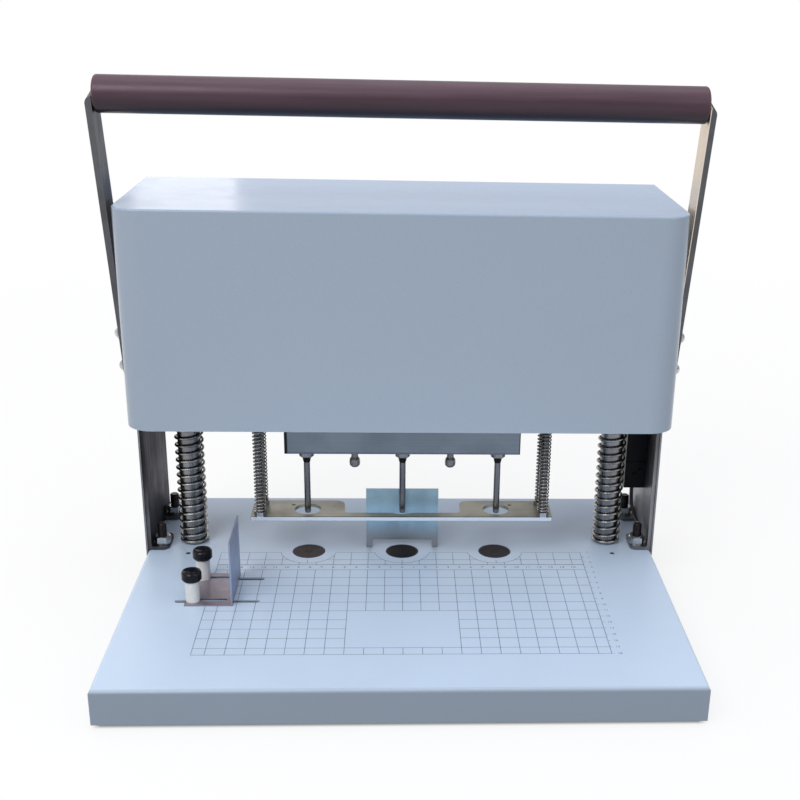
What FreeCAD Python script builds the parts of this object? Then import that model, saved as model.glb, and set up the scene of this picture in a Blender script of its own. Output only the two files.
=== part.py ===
import FreeCAD, Part
import math
import os
from FreeCAD import Vector

# Three-hole desk paper drill, in millimetres.
# Origin: on the desk, under the middle of the table. +X right, +Y to the back, +Z up.
# Driving sizes are read off the centimetre scale printed on the table.

# Table: a folded steel tray on four feet
table_width = 450.0
table_depth = 355.0
table_height = 28.0
table_sheet = 1.5
table_edge_radius = 2.5
table_hem = 24.0
foot_height = 3.0
foot_radius = 9.0
foot_inset = 13.0

# Drill line and hole pitch
drill_setback = 121.0        # from the rear edge of the table
hole_pitch = 83.0
bit_radius = 2.75
bit_bore = 2.1
stroke = 37.6                # how far the drill head comes down
bit_rest_height = 38.1       # bit tips above the table at rest
pad_radius = 14.2
pad_seat_clearance = 0.4
pad_recess = 2.5

# Stiffener plate under the table
stiffener_thickness = 5.0
stiffener_front = 24.0       # in front of the drill line
sheet_gap = 0.5

# Side brackets and side panels
bracket_sheet = 3.0
bracket_front = 2.0          # behind the drill line
bracket_depth = 97.0
bracket_height = 265.0
bracket_foot = 15.0
front_foot_depth = 31.0
rear_foot_depth = 31.0
bracket_corner = 8.0
panel_sheet = 1.5
panel_gap = 0.1
panel_depth = 115.0
panel_drop = 22.0
panel_height = 292.0

# Bracket studs
stud_radius = 4.0
stud_height = 22.0
stud_front_y = 12.0          # behind the drill line
stud_rear_y = 80.0
stud_inset = 8.3             # in from the bracket's inner face
nut_height = 6.0
nut_across_flats = 13.0
washer_radius = 6.7
washer_thickness = 1.4
thread_clearance = 0.05

# Guide columns and their springs
column_inset = 35.0          # in from the bracket's inner face
column_setback = 23.0        # behind the drill line
column_radius = 10.0
spigot_radius = 6.0
column_nut_height = 8.0
column_nut_flats = 19.0
column_spring_wire = 1.3     # wire radius
column_spring_radius = 11.9
column_spring_turns = 20
spring_end_gap = 0.3

# Crossbar over the columns
crossbar_thickness = 10.0
crossbar_width = 36.0
crossbar_bolt_radius = 4.0
crossbar_bolt_spread = 11.0
bolt_head_height = 5.3

# Head cover
cover_sheet = 1.2
cover_gap = 0.2
cover_front = 45.0           # in front of the drill line
cover_bottom = 129.0         # above the table
cover_height = 180.0
cover_corner = 23.0
cover_edge_radius = 1.6
cover_hem = 9.0
hem_clear = 3.0              # the hem ends this far in front of the drill line
rear_recess = 2.5
rear_flange = 12.0

# Lever: pivots, arms, grip
pivot_height = 179.0         # above the table, in the plane of the columns
lever_lean = 14.6            # degrees forward at rest
grip_reach = 220.6           # pivot to grip centre
arm_thickness = 5.0
arm_width = 25.0
arm_cover_gap = 4.0
arm_bolt_pitch = 31.8
tab_width = 18.0
tab_length = 26.0
arm_bend_radius = 6.0
grip_radius = 14.0
grip_end_radius = 2.5
grip_end_gap = 0.3
core_radius = 11.0
core_wall = 1.5
hub_radius = 22.0
hub_thickness = 3.4
shaft_radius = 9.0
bush_wall = 3.0
bush_flange = 2.5
running_fit = 0.06
hub_stud_radius = 3.0
cap_nut_flats = 10.0
cap_nut_height = 6.0

# Rack and pinion
gear_module = 2.0
pinion_teeth = 24
gear_face = 12.0
gear_inset = 6.0             # pinion to bracket's inner face
backlash = 0.22
rack_back = 9.5
rack_lead = 14.0

# Drill head: plate that slides on the columns
plate_height = 140.0         # underside above the table at rest
plate_thickness = 10.0
plate_front = 33.0           # in front of the drill line
plate_back = 57.0            # behind the drill line
motor_shelf_half = 62.0
motor_shelf_back = 115.0
guide_wall = 2.5
guide_flange_radius = 17.0
guide_flange = 4.0
guide_rise = 32.0

# Drill box and spindles
box_margin = 17.0            # beyond the outer drills
box_front = 23.0             # in front of the drill line
box_back = 23.0
box_bottom = 100.8
box_sheet = 2.0
housing_margin = 12.0
housing_half_depth = 15.0
bearing_radius = 9.5
bearing_height = 6.0
spindle_radius = 4.0
chuck_radius = 6.5
chuck_bottom = 90.5
chuck_shank_radius = 2.6
shank_depth = 12.0
collar_radius = 3.9
collar_height = 3.6
knob_radius = 4.75
knob_height = 8.6
knob_bottom = 81.7

# Belt drive and motor
belt_width = 8.0
belt_thickness = 1.8
belt_clearance = 0.25
pulley_radius = 20.0
motor_pulley_radius = 12.0
pulley_flange = 1.6
level_pitch = 13.0
pulley_start = 4.0           # first pulley above the head plate
motor_radius = 38.0
motor_height = 82.0
motor_back = 75.0            # behind the drill line
motor_stand = 20.0
motor_leg_radius = 4.0
motor_shaft_radius = 4.0

# Presser plate, its rods and springs
presser_overhang = 48.3      # beyond the outer drills
presser_front = 18.6         # in front of the drill line
presser_back = 19.0
presser_bar_back = 8.2       # the narrow middle bar ends in front of the drill line
presser_bar_half = 51.0
presser_thickness = 3.0
presser_corner = 8.0
presser_hole = 11.7
rod_overhang = 40.0          # beyond the outer drills
rod_front = 13.5
rod_back = 10.0
rod_radius = 3.0
rod_nut_height = 4.0
rod_nut_flats = 9.5
rod_spring_wire = 0.6
rod_spring_radius = 4.25
rod_spring_turns = 14

# Side guide on the table
guide_wall_x = 138.0         # left of centre
guide_sheet = 1.2
guide_depth = 58.0
guide_height = 55.5
guide_base = 39.0
guide_slot = 4.4
guide_front_slot = 96.0      # in front of the drill line
guide_rear_slot = 55.5
guide_slot_left = 186.0
guide_slot_right = 117.0
front_bolt_x = 171.0
rear_bolt_x = 168.0
spacer_radius = 5.7
spacer_height = 18.3
guide_knob_radius = 8.1
guide_knob_height = 8.7
guide_bolt_radius = 2.0
guide_left_travel = 12.0
guide_right_travel = 45.0

# Back gauge
gauge_half_width = 32.0
gauge_setback = 7.5          # behind the drill line
gauge_sheet = 1.5
gauge_height = 57.0
gauge_leg = 5.0
gauge_window = 8.7
gauge_foot = 62.0
gauge_window_depth = 20.0
gauge_travel = 20.0
gauge_corner = 5.0
gauge_screw_radius = 2.5
gauge_screw_back = 53.0      # screw behind the drill line
gauge_knob_radius = 9.0
gauge_knob_height = 8.0

# Electrical parts
ebox_inset = 0.2
ebox_width = 18.6
ebox_front = 35.0            # behind the drill line
ebox_depth = 56.0
ebox_bottom = 47.0
ebox_height = 87.0
lead_radius = 1.6
inlet_x = -150.0
inlet_height = 205.0
inlet_width = 30.0
inlet_tall = 22.0
inlet_depth = 14.0

# Worked-out levels and positions
table_top = foot_height + table_height
rear_edge = table_depth / 2
drill_y = rear_edge - drill_setback
side_x = table_width / 2
bracket_x = side_x - bracket_sheet
column_x = bracket_x - column_inset
column_y = drill_y + column_setback
panel_x = side_x + panel_gap
cover_inner_x = panel_x + panel_sheet + cover_gap
cover_x = cover_inner_x + cover_sheet
arm_inner_x = cover_x + arm_cover_gap
arm_outer_x = arm_inner_x + arm_thickness
pivot_z = table_top + pivot_height
bracket_top = table_top + bracket_height
plate_z = table_top + plate_height
plate_top = plate_z + plate_thickness
pinion_radius = gear_module * pinion_teeth / 2
cover_z = table_top + cover_bottom
cover_top = cover_z + cover_height
cover_y = drill_y - cover_front
guide_body_radius = column_radius + running_fit + guide_wall
drill_xs = [-hole_pitch, 0.0, hole_pitch]


def block(x0, x1, y0, y1, z0, z1):
    """A box between two corners."""
    return Part.makeBox(x1 - x0, y1 - y0, z1 - z0, Vector(x0, y0, z0))


def rod(radius, x, y, z0, z1):
    """An upright cylinder."""
    return Part.makeCylinder(radius, z1 - z0, Vector(x, y, z0))


def rod_x(radius, x0, x1, y, z):
    """A cylinder along X."""
    return Part.makeCylinder(radius, x1 - x0, Vector(x0, y, z), Vector(1, 0, 0))


def revolve(profile, x, y):
    """Turns (radius, z) points about an upright axis."""
    points = [Vector(x + r, y, z) for r, z in profile]
    points.append(points[0])
    face = Part.Face(Part.makePolygon(points))
    return face.revolve(Vector(x, y, 0), Vector(0, 0, 1), 360)


def prism(points, height_vector):
    """A closed polygon pushed along a vector."""
    return Part.Face(Part.makePolygon(points + [points[0]])).extrude(height_vector)


def hexagon(across_flats, x, y, z0, z1, bore=0.0):
    """A hexagon nut or head, with a bore where one is given."""
    corner = across_flats / math.sqrt(3)
    points = []
    for k in range(6):
        angle = math.radians(60 * k)
        points.append(Vector(x + corner * math.cos(angle), y + corner * math.sin(angle), z0))
    nut = prism(points, Vector(0, 0, z1 - z0))
    if bore > 0:
        nut = nut.cut(rod(bore, x, y, z0 - 1, z1 + 1))
    return nut


def slot_along_x(x0, x1, y, width, z0, z1):
    """A round-ended slot between two end points."""
    half = width / 2
    middle = block(x0 + half, x1 - half, y - half, y + half, z0, z1)
    return middle.fuse([rod(half, x0 + half, y, z0, z1), rod(half, x1 - half, y, z0, z1)])


def slot_along_y(y0, y1, x, width, z0, z1):
    """A round-ended slot between two end points."""
    half = width / 2
    middle = block(x - half, x + half, y0 + half, y1 - half, z0, z1)
    return middle.fuse([rod(half, x, y0 + half, z0, z1), rod(half, x, y1 - half, z0, z1)])


def mirror_x(shape):
    """The same piece on the other side of the middle plane."""
    return shape.mirror(Vector(0, 0, 0), Vector(1, 0, 0))


def edges_along(shape, axis, test):
    """Straight edges along an axis whose middle point passes the test."""
    found = []
    for edge in shape.Edges:
        if edge.Curve.TypeId != "Part::GeomLine":
            continue
        direction = edge.tangentAt(edge.FirstParameter)
        middle = edge.valueAt((edge.FirstParameter + edge.LastParameter) / 2)
        if abs(abs(direction.dot(axis)) - 1) < 1e-6 and test(middle):
            found.append(edge)
    return found


def save(shape, name):
    """Writes one piece."""
    if isinstance(shape, list):
        shape = Part.makeCompound(shape)
    shape.exportStep("parts/" + name + ".step")


# Wound springs

def arc_from(start, tangent, end):
    """The arc that leaves start along tangent and ends at end, and its radius."""
    chord = end - start
    across = chord - tangent * chord.dot(tangent)
    radius = chord.dot(chord) / (2 * across.Length)
    centre = start + across.normalize() * radius
    outward = (start - centre).normalize() + (end - centre).normalize()
    middle = centre + outward.normalize() * radius
    return Part.Arc(start, middle, end), radius


def biarc(start, start_tangent, end, end_tangent):
    """Two arcs that join two points smoothly."""
    chord = end - start
    total = start_tangent + end_tangent
    a = 2 * (1 - start_tangent.dot(end_tangent))
    b = 2 * chord.dot(total)
    reach = (-b + math.sqrt(b * b + 4 * a * chord.dot(chord))) / (2 * a)
    middle = (start + start_tangent * reach + end - end_tangent * reach) * 0.5
    first, first_radius = arc_from(start, start_tangent, middle)
    second, second_radius = arc_from(end, end_tangent * -1, middle)
    return [first, second], min(first_radius, second_radius)


def spring(name, x, y, z0, z1, coil_radius, wire, turns):
    """One unbroken wire: a closed turn at each end, even turns between."""
    close_pitch = 2 * wire + 0.55
    open_turns = turns - 3
    height = z1 - z0 - 2 * wire
    open_pitch = (height - 3 * close_pitch) / open_turns
    steps = 2 * turns

    def pitch_at(turn):
        edge = min(turn, turns - turn)
        share = min(1.0, max(0.0, edge - 1.0))
        return close_pitch + (open_pitch - close_pitch) * share

    points = []
    tangents = []
    z = z0 + wire
    for k in range(steps + 1):
        angle = math.pi * k
        pitch = pitch_at(k / 2)
        points.append(Vector(x + coil_radius * math.cos(angle), y + coil_radius * math.sin(angle), z))
        rise = pitch / (2 * math.pi * coil_radius)
        tangent = Vector(-math.sin(angle), math.cos(angle), rise)
        tangents.append(tangent.normalize())
        z += (pitch_at(k / 2) + 2 * pitch_at(k / 2 + 0.25) + pitch_at(k / 2 + 0.5)) / 8
    arcs = []
    tightest = coil_radius
    for k in range(steps):
        pair, radius = biarc(points[k], tangents[k], points[k + 1], tangents[k + 1])
        arcs.append(pair[0])
        arcs.append(pair[1])
        tightest = min(tightest, radius)
    path = []
    for index, arc in enumerate(arcs):
        start = arc.value(arc.FirstParameter)
        end = arc.value(arc.LastParameter)
        middle = arc.value((arc.FirstParameter + arc.LastParameter) / 2)
        if index % 2:
            start, end = end, start
        path.append(Part.Arc(start, middle, end).toShape())
    line = Part.Wire(path)
    profile = Part.Wire(Part.makeCircle(wire, points[0], tangents[0]))
    tube = line.makePipeShell([profile], True, False)
    samples = []
    for edge in path:
        for k in range(6):
            t = edge.FirstParameter + (edge.LastParameter - edge.FirstParameter) * k / 6
            samples.append(edge.valueAt(t))
    turn_samples = 24
    gap = 1e9
    for i in range(len(samples)):
        for j in range(i + turn_samples * 3 // 4, min(len(samples), i + turn_samples * 5 // 4 + 1)):
            gap = min(gap, samples[i].distanceToPoint(samples[j]) - 2 * wire)
    print(name, "self gap %.2f mm, tightest arc %.2f mm, pitch %.2f mm" % (gap, tightest, open_pitch))
    return tube


# Table

def base_tray():
    """Folded tray with a hem turned in underneath."""
    body = block(-side_x, side_x, -rear_edge, rear_edge, foot_height, table_top)
    top_edges = edges_along(body, Vector(1, 0, 0), lambda p: p.z > table_top - 0.1 and p.y < 0)
    top_edges += edges_along(body, Vector(0, 1, 0), lambda p: p.z > table_top - 0.1)
    body = body.makeFillet(table_edge_radius, top_edges)
    sheet = table_sheet
    body = body.cut(block(-side_x + sheet, side_x - sheet, -rear_edge + sheet, rear_edge - sheet,
                          foot_height + sheet, table_top - sheet))
    body = body.cut(block(-side_x + table_hem, side_x - table_hem, -rear_edge + table_hem,
                          rear_edge - table_hem, foot_height - 1, foot_height + 2 * sheet))
    low = table_top - 2 * sheet
    high = table_top + 1
    cuts = [rod(pad_radius + pad_seat_clearance, x, drill_y, low, high) for x in drill_xs]
    for side in (-1, 1):
        cuts.append(rod(spigot_radius + 0.2, side * column_x, column_y, low, high))
        for y in (stud_front_y, stud_rear_y):
            cuts.append(rod(stud_radius + 0.2, side * (bracket_x - stud_inset), drill_y + y, low, high))
        cuts.append(rod(2.2, side * (column_x + 2), column_y - 27.5, low, high))
        for y in (-1, 1):
            cuts.append(rod(2.4, side * (side_x - foot_inset), y * (rear_edge - foot_inset),
                            foot_height - 1, foot_height + 2 * sheet))
    for y in (guide_front_slot, guide_rear_slot):
        cuts.append(slot_along_x(-guide_slot_left, -guide_slot_right, drill_y - y, guide_slot, low, high))
    cuts.append(rod(gauge_screw_radius + 0.2, 0, drill_y + gauge_screw_back, low, high))
    return body.cut(cuts)


def base_plate():
    """Plate under the table sheet that holds columns, studs and pads."""
    top = table_top - table_sheet
    inner = side_x - table_sheet - sheet_gap
    plate = block(-inner, inner, drill_y - stiffener_front, rear_edge - table_sheet - sheet_gap,
                  top - stiffener_thickness, top)
    low = top - stiffener_thickness - 1
    cuts = [rod(pad_radius + pad_seat_clearance, x, drill_y, top - pad_recess, top + 1) for x in drill_xs]
    for side in (-1, 1):
        cuts.append(rod(spigot_radius + thread_clearance, side * column_x, column_y, low, top + 1))
        cuts.append(rod(1.75, side * (column_x + 2), column_y - 27.5, low, top + 1))
        for y in (stud_front_y, stud_rear_y):
            cuts.append(rod(stud_radius + thread_clearance, side * (bracket_x - stud_inset), drill_y + y,
                            low, top + 1))
    cuts.append(rod(gauge_screw_radius + thread_clearance, 0, drill_y + gauge_screw_back, low, top + 1))
    return plate.cut(cuts)


def cutting_pads():
    """Round pads that the drills land on, chamfered at the rim."""
    bottom = table_top - table_sheet - pad_recess
    rim = 0.5
    profile = [(0, bottom), (pad_radius, bottom), (pad_radius, table_top - rim),
               (pad_radius - rim, table_top), (0, table_top)]
    return [revolve(profile, x, drill_y) for x in drill_xs]


def rubber_feet():
    """Push-in feet with a mushroom stem through the hem."""
    feet = []
    profile = [(0, 0), (foot_radius - 1.5, 0), (foot_radius, foot_height), (2.2, foot_height),
               (2.2, foot_height + table_sheet), (3.8, foot_height + table_sheet),
               (2.6, foot_height + table_sheet + 2.2), (0, foot_height + table_sheet + 2.2)]
    for x in (-1, 1):
        for y in (-1, 1):
            feet.append(revolve(profile, x * (side_x - foot_inset), y * (rear_edge - foot_inset)))
    return feet


# Frame

def bracket_left():
    """Left bracket: upright plate, two feet turned in, top flange turned in."""
    outer = -side_x
    inner = -bracket_x
    y0 = drill_y + bracket_front
    y1 = y0 + bracket_depth
    upright = block(outer, inner, y0, y1, table_top, bracket_top)
    foot_end = inner + bracket_foot
    feet = [block(outer, foot_end, y0, y0 + front_foot_depth, table_top, table_top + bracket_sheet),
            block(outer, foot_end, y1 - rear_foot_depth, y1, table_top, table_top + bracket_sheet)]
    flange = block(outer, -(column_x + 13), column_y - crossbar_width / 2, column_y + crossbar_width / 2,
                   bracket_top - bracket_sheet, bracket_top)
    body = upright.fuse(feet + [flange]).removeSplitter()
    round_feet = edges_along(body, Vector(0, 0, 1), lambda p: abs(p.x - foot_end) < 0.1 and p.z < bracket_top / 2)
    body = body.makeFillet(bracket_corner * 0.7, round_feet)
    bends = edges_along(body, Vector(0, 1, 0),
                        lambda p: abs(p.x - inner) < 0.1 and (abs(p.z - table_top - bracket_sheet) < 0.1
                                                              or abs(p.z - bracket_top + bracket_sheet) < 0.1))
    body = body.makeFillet(1.5, bends)
    arch = block(outer - 1, inner + 1, y0 + front_foot_depth + 4, y1 - rear_foot_depth - 4,
                 table_top - 1, table_top + 6)
    cuts = [arch, rod_x(shaft_radius + running_fit + bush_wall, outer - 1, inner + 1, column_y, pivot_z)]
    for y in (stud_front_y, stud_rear_y):
        cuts.append(rod(stud_radius + 0.2, inner + stud_inset, drill_y + y, table_top - 1, table_top + 5))
    for y in (-crossbar_bolt_spread, crossbar_bolt_spread):
        cuts.append(rod(crossbar_bolt_radius + thread_clearance, -(column_x + 22), column_y + y,
                        bracket_top - 5, bracket_top + 1))
    return body.cut(cuts)


def panel_left():
    """Thin outer sheet from below the table edge up inside the cover."""
    y0 = drill_y + bracket_front - 1.5
    sheet = block(-panel_x - panel_sheet, -panel_x, y0, y0 + panel_depth,
                  table_top - panel_drop, table_top + panel_height)
    corners = edges_along(sheet, Vector(1, 0, 0), lambda p: p.z > table_top + panel_height - 1)
    sheet = sheet.makeFillet(6, corners)
    cuts = [rod_x(shaft_radius + 4.5, -panel_x - 3, -panel_x + 1, column_y, pivot_z)]
    for z in (cover_z + 14, cover_top - 40):
        cuts.append(rod_x(1.65, -panel_x - 3, -panel_x + 1, drill_y + 95, z))
    return sheet.cut(cuts)


def studs():
    """Black studs screwed up through the stiffener plate."""
    bottom = table_top - table_sheet - stiffener_thickness
    shapes = []
    for side in (-1, 1):
        for y in (stud_front_y, stud_rear_y):
            stud = rod(stud_radius, side * (bracket_x - stud_inset), drill_y + y, bottom, table_top + stud_height)
            top = [e for e in stud.Edges if abs(e.CenterOfMass.z - table_top - stud_height) < 0.1]
            shapes.append(stud.makeChamfer(0.8, top[:1]))
    return shapes


def stud_nuts():
    """A washer and a nut on each stud."""
    z = table_top + bracket_sheet
    shapes = []
    for side in (-1, 1):
        for y in (stud_front_y, stud_rear_y):
            x = side * (bracket_x - stud_inset)
            washer = rod(washer_radius, x, drill_y + y, z, z + washer_thickness)
            shapes.append(washer.cut(rod(stud_radius + 0.2, x, drill_y + y, z - 1, z + 3)))
            nut = hexagon(nut_across_flats, x, drill_y + y, z + washer_thickness,
                          z + washer_thickness + nut_height, stud_radius + thread_clearance)
            cone = revolve([(0, z), (nut_across_flats * 0.62, z),
                            (nut_across_flats * 0.62, z + washer_thickness + nut_height - 1.2),
                            (nut_across_flats * 0.47, z + washer_thickness + nut_height), (0, z + 20)],
                           x, drill_y + y)
            shapes.append(nut.common(cone))
    return shapes


def column_left():
    """Ground column with a threaded spigot at each end."""
    low = table_top - table_sheet - stiffener_thickness - column_nut_height - 2
    high = bracket_top + crossbar_thickness + column_nut_height + 2
    profile = [(0, low), (spigot_radius - 0.8, low), (spigot_radius, low + 0.8), (spigot_radius, table_top),
               (column_radius, table_top), (column_radius, bracket_top), (spigot_radius, bracket_top),
               (spigot_radius, high - 0.8), (spigot_radius - 0.8, high), (0, high)]
    return revolve(profile, -column_x, column_y)


def column_nuts():
    """One nut under the stiffener and one on the crossbar for each column."""
    shapes = []
    for side in (-1, 1):
        for z in (table_top - table_sheet - stiffener_thickness - column_nut_height,
                  bracket_top + crossbar_thickness):
            shapes.append(hexagon(column_nut_flats, side * column_x, column_y, z, z + column_nut_height,
                                  spigot_radius + thread_clearance))
    return shapes


def crossbar():
    """Steel bar that ties both brackets and both column tops."""
    half = bracket_x - 0.3
    bar = block(-half, half, column_y - crossbar_width / 2, column_y + crossbar_width / 2,
                bracket_top, bracket_top + crossbar_thickness)
    cuts = []
    for side in (-1, 1):
        cuts.append(rod(spigot_radius + thread_clearance, side * column_x, column_y, bracket_top - 1,
                        bracket_top + crossbar_thickness + 1))
        for y in (-crossbar_bolt_spread, crossbar_bolt_spread):
            cuts.append(rod(crossbar_bolt_radius + 0.3, side * (column_x + 22), column_y + y,
                            bracket_top - 1, bracket_top + crossbar_thickness + 1))
    return bar.cut(cuts)


def frame_screws():
    """Crossbar bolts, table screws, and the pan screws of the covers."""
    shapes = []
    z = bracket_top + crossbar_thickness
    for side in (-1, 1):
        for y in (-crossbar_bolt_spread, crossbar_bolt_spread):
            x = side * (column_x + 22)
            shank = rod(crossbar_bolt_radius, x, column_y + y, bracket_top - bracket_sheet, z + 1)
            shapes.append(shank.fuse(hexagon(nut_across_flats, x, column_y + y, z, z + bolt_head_height)))
        x = side * (column_x + 2)
        head = rod(2.1, x, column_y - 27.5, table_top - table_sheet, table_top - 0.1)
        shapes.append(head.fuse(rod(1.7, x, column_y - 27.5, table_top - table_sheet - stiffener_thickness,
                                    table_top - table_sheet)))
        for height in (cover_z + 14, cover_top - 40):
            shank = rod_x(1.6, min(side * panel_x, side * cover_x), max(side * panel_x, side * cover_x),
                          drill_y + 95, height)
            tip = side * (cover_x + 1.9)
            head = rod_x(3.2, min(side * cover_x, tip), max(side * cover_x, tip), drill_y + 95, height)
            shapes.append(shank.fuse(head))
    for x, height in rear_screw_places():
        y = rear_edge - rear_recess
        shank = Part.makeCylinder(1.6, 2 * cover_sheet, Vector(x, y - 2 * cover_sheet, height), Vector(0, 1, 0))
        head = Part.makeCylinder(3.2, 1.8, Vector(x, y, height), Vector(0, 1, 0))
        shapes.append(shank.fuse(head))
    return shapes


def rear_screw_places():
    """Where the rear cover's screws sit."""
    x = cover_inner_x - 6
    middle = (cover_z + cover_top) / 2
    return [(-x, cover_z + 12), (x, cover_z + 12), (-x, middle), (x, middle),
            (-x / 3, cover_top - cover_sheet - 6), (x / 3, cover_top - cover_sheet - 6)]


# Covers

def cover_solid(inset, z0, z1, y1):
    """The cover's outline moved in by a wall, between two levels."""
    body = block(-cover_x + inset, cover_x - inset, cover_y + inset, y1, z0, z1)
    front = edges_along(body, Vector(0, 0, 1), lambda p: p.y < cover_y + inset + 0.1)
    return body.makeFillet(cover_corner - inset, front)


def head_cover():
    """Deep folded cover: front, sides and top, a hem below and a flange at the rear."""
    sheet = cover_sheet
    body = cover_solid(0, cover_z, cover_top, rear_edge)
    top_edges = [e for e in body.Edges if e.BoundBox.ZMin > cover_top - 0.1 and e.BoundBox.YMin < rear_edge - 0.1]
    body = body.makeFillet(cover_edge_radius, top_edges)
    body = body.cut(cover_solid(sheet, cover_z + sheet, cover_top - sheet, rear_edge - rear_recess - 2 * sheet))
    body = body.cut(cover_solid(cover_hem, cover_z - 1, cover_z + 2 * sheet, rear_edge - rear_recess - 2 * sheet))
    body = body.cut(block(-cover_inner_x, cover_inner_x, drill_y - hem_clear, rear_edge - rear_recess - 2 * sheet,
                          cover_z - 1, cover_z + 2 * sheet))
    plate_face = rear_edge - rear_recess - sheet
    body = body.cut(block(-cover_inner_x, cover_inner_x, plate_face, rear_edge + 1,
                          cover_z - 1, cover_top - sheet))
    body = body.cut(block(-cover_inner_x + rear_flange, cover_inner_x - rear_flange,
                          plate_face - 2 * sheet, rear_edge + 1, cover_z - 1, cover_top - sheet - rear_flange))
    cuts = []
    for side in (-1, 1):
        cuts.append(rod_x(shaft_radius + 4.5, min(side * cover_x * 0.95, side * cover_x * 1.05),
                          max(side * cover_x * 0.95, side * cover_x * 1.05), column_y, pivot_z))
        for height in (cover_z + 14, cover_top - 40):
            cuts.append(rod_x(1.65, min(side * panel_x, side * cover_x * 1.05),
                              max(side * panel_x, side * cover_x * 1.05), drill_y + 95, height))
    for x, height in rear_screw_places():
        cuts.append(Part.makeCylinder(1.65, 6, Vector(x, plate_face - 4, height), Vector(0, 1, 0)))
    return body.cut(cuts)


def rear_cover():
    """Flat plate set into the back of the head cover, with vents and the inlet cut-out."""
    sheet = cover_sheet
    y0 = rear_edge - rear_recess - sheet
    half = cover_inner_x - 0.4
    plate = block(-half, half, y0, y0 + sheet, cover_z + 0.4, cover_top - sheet - 0.4)
    cuts = [block(inlet_x - inlet_width / 2 + 2, inlet_x + inlet_width / 2 - 2, y0 - 1, y0 + sheet + 1,
                  table_top + inlet_height - inlet_tall / 2 + 2, table_top + inlet_height + inlet_tall / 2 - 2)]
    for k in range(8):
        z = table_top + 172 + 9 * k
        vent = block(-26, 26, y0 - 1, y0 + sheet + 1, z, z + 3)
        cuts.append(vent)
    for x, height in rear_screw_places():
        cuts.append(Part.makeCylinder(1.65, 6, Vector(x, y0 - 2, height), Vector(0, 1, 0)))
    return plate.cut(cuts)


def power_inlet():
    """Panel socket for the mains lead, flange outside and body inside."""
    y = rear_edge - rear_recess
    z = table_top + inlet_height
    half = inlet_width / 2
    tall = inlet_tall / 2
    flange = block(inlet_x - half, inlet_x + half, y, y + 2, z - tall, z + tall)
    corners = edges_along(flange, Vector(0, 1, 0), lambda p: True)
    flange = flange.makeFillet(2.5, corners)
    body = block(inlet_x - half + 2.2, inlet_x + half - 2.2, y - cover_sheet - inlet_depth, y,
                 z - tall + 2.2, z + tall - 2.2)
    socket = block(inlet_x - half + 4, inlet_x + half - 4, y - inlet_depth + 2, y + 3, z - tall + 4, z + tall - 4)
    pins = []
    for dx, dz in ((-5, -1.5), (5, -1.5), (0, 2)):
        pins.append(block(inlet_x + dx - 1, inlet_x + dx + 1, y - inlet_depth, y - 1, z + dz - 1.6, z + dz + 1.6))
    return flange.fuse(body).cut(socket).fuse(pins)


def electrical_box():
    """Black box for switch and capacitor on the right bracket, with a lid step and two screws."""
    x1 = bracket_x - ebox_inset
    x0 = x1 - ebox_width
    y0 = drill_y + ebox_front
    z0 = table_top + ebox_bottom
    body = block(x0, x1, y0, y0 + ebox_depth, z0, z0 + ebox_height)
    body = body.makeFillet(2, edges_along(body, Vector(1, 0, 0), lambda p: True))
    groove = block(x0 - 1, x1 + 1, y0 - 1, y0 + 0.8, z0 + 26, z0 + 27)
    body = body.cut(groove)
    screws = [Part.makeCylinder(2.2, 1.4, Vector(x0 + dx, y0 - 1.4, z0 + dz), Vector(0, 1, 0))
              for dx, dz in ((9, 13), (14, 17))]
    return body.fuse(screws)


def earth_lead():
    """Lead from the box to the front stud: a round-cornered tube and its eyelet."""
    stud_x = bracket_x - stud_inset
    stud_y = drill_y + stud_front_y
    eye_z = table_top + bracket_sheet + washer_thickness + nut_height
    box_z = table_top + ebox_bottom
    points = [Vector(stud_x + 3.2, stud_y + 7.6, eye_z + lead_radius + 0.4),
              Vector(stud_x + 3.4, stud_y + 17, eye_z + 5.5),
              Vector(stud_x + 1.4, stud_y + 27, eye_z + 10),
              Vector(stud_x - 1.2, stud_y + 33, eye_z + 19),
              Vector(stud_x - 1.2, stud_y + 33.5, box_z)]
    tube, radii = cord(points, lead_radius)
    print("earth lead bend radii", ["%.1f" % r for r in radii])
    eye = rod(6.2, stud_x, stud_y, eye_z, eye_z + 0.8)
    tail = block(stud_x + 1.2, stud_x + 5.2, stud_y + 3, stud_y + 9, eye_z, eye_z + 0.8)
    eye = eye.fuse(tail).cut(rod(stud_radius + 0.2, stud_x, stud_y, eye_z - 1, eye_z + 2))
    sleeve_axis = points[1] - points[0]
    sleeve = Part.makeCylinder(lead_radius + 0.5, 5, points[0], sleeve_axis)
    core = Part.makeCylinder(lead_radius, 6, points[0] - sleeve_axis.normalize() * 0.5, sleeve_axis)
    return [tube, eye, sleeve.cut(core)]


def cord(points, radius):
    """A tube along straight runs joined by tangent arcs."""
    edges = []
    radii = []
    at = points[0]
    for k in range(1, len(points) - 1):
        before = (points[k - 1] - points[k])
        after = (points[k + 1] - points[k])
        run = min(before.Length, after.Length) * 0.45
        before.normalize()
        after.normalize()
        half = (math.pi - before.getAngle(after)) / 2
        radii.append(run / math.tan(half))
        enter = points[k] + before * run
        leave = points[k] + after * run
        inward = (before + after).normalize()
        centre = points[k] + inward * (radii[-1] / math.cos(half))
        middle = centre - inward * radii[-1]
        edges.append(Part.LineSegment(at, enter).toShape())
        edges.append(Part.Arc(enter, middle, leave).toShape())
        at = leave
    edges.append(Part.LineSegment(at, points[-1]).toShape())
    line = Part.Wire(edges)
    profile = Part.Wire(Part.makeCircle(radius, points[0], points[1] - points[0]))
    tube = line.makePipeShell([profile], True, False)
    share = tube.Volume / (math.pi * radius ** 2 * line.Length)
    print("earth lead length %.1f mm, volume over section times length %.4f" % (line.Length, share))
    return tube, radii


# Drill head

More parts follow.
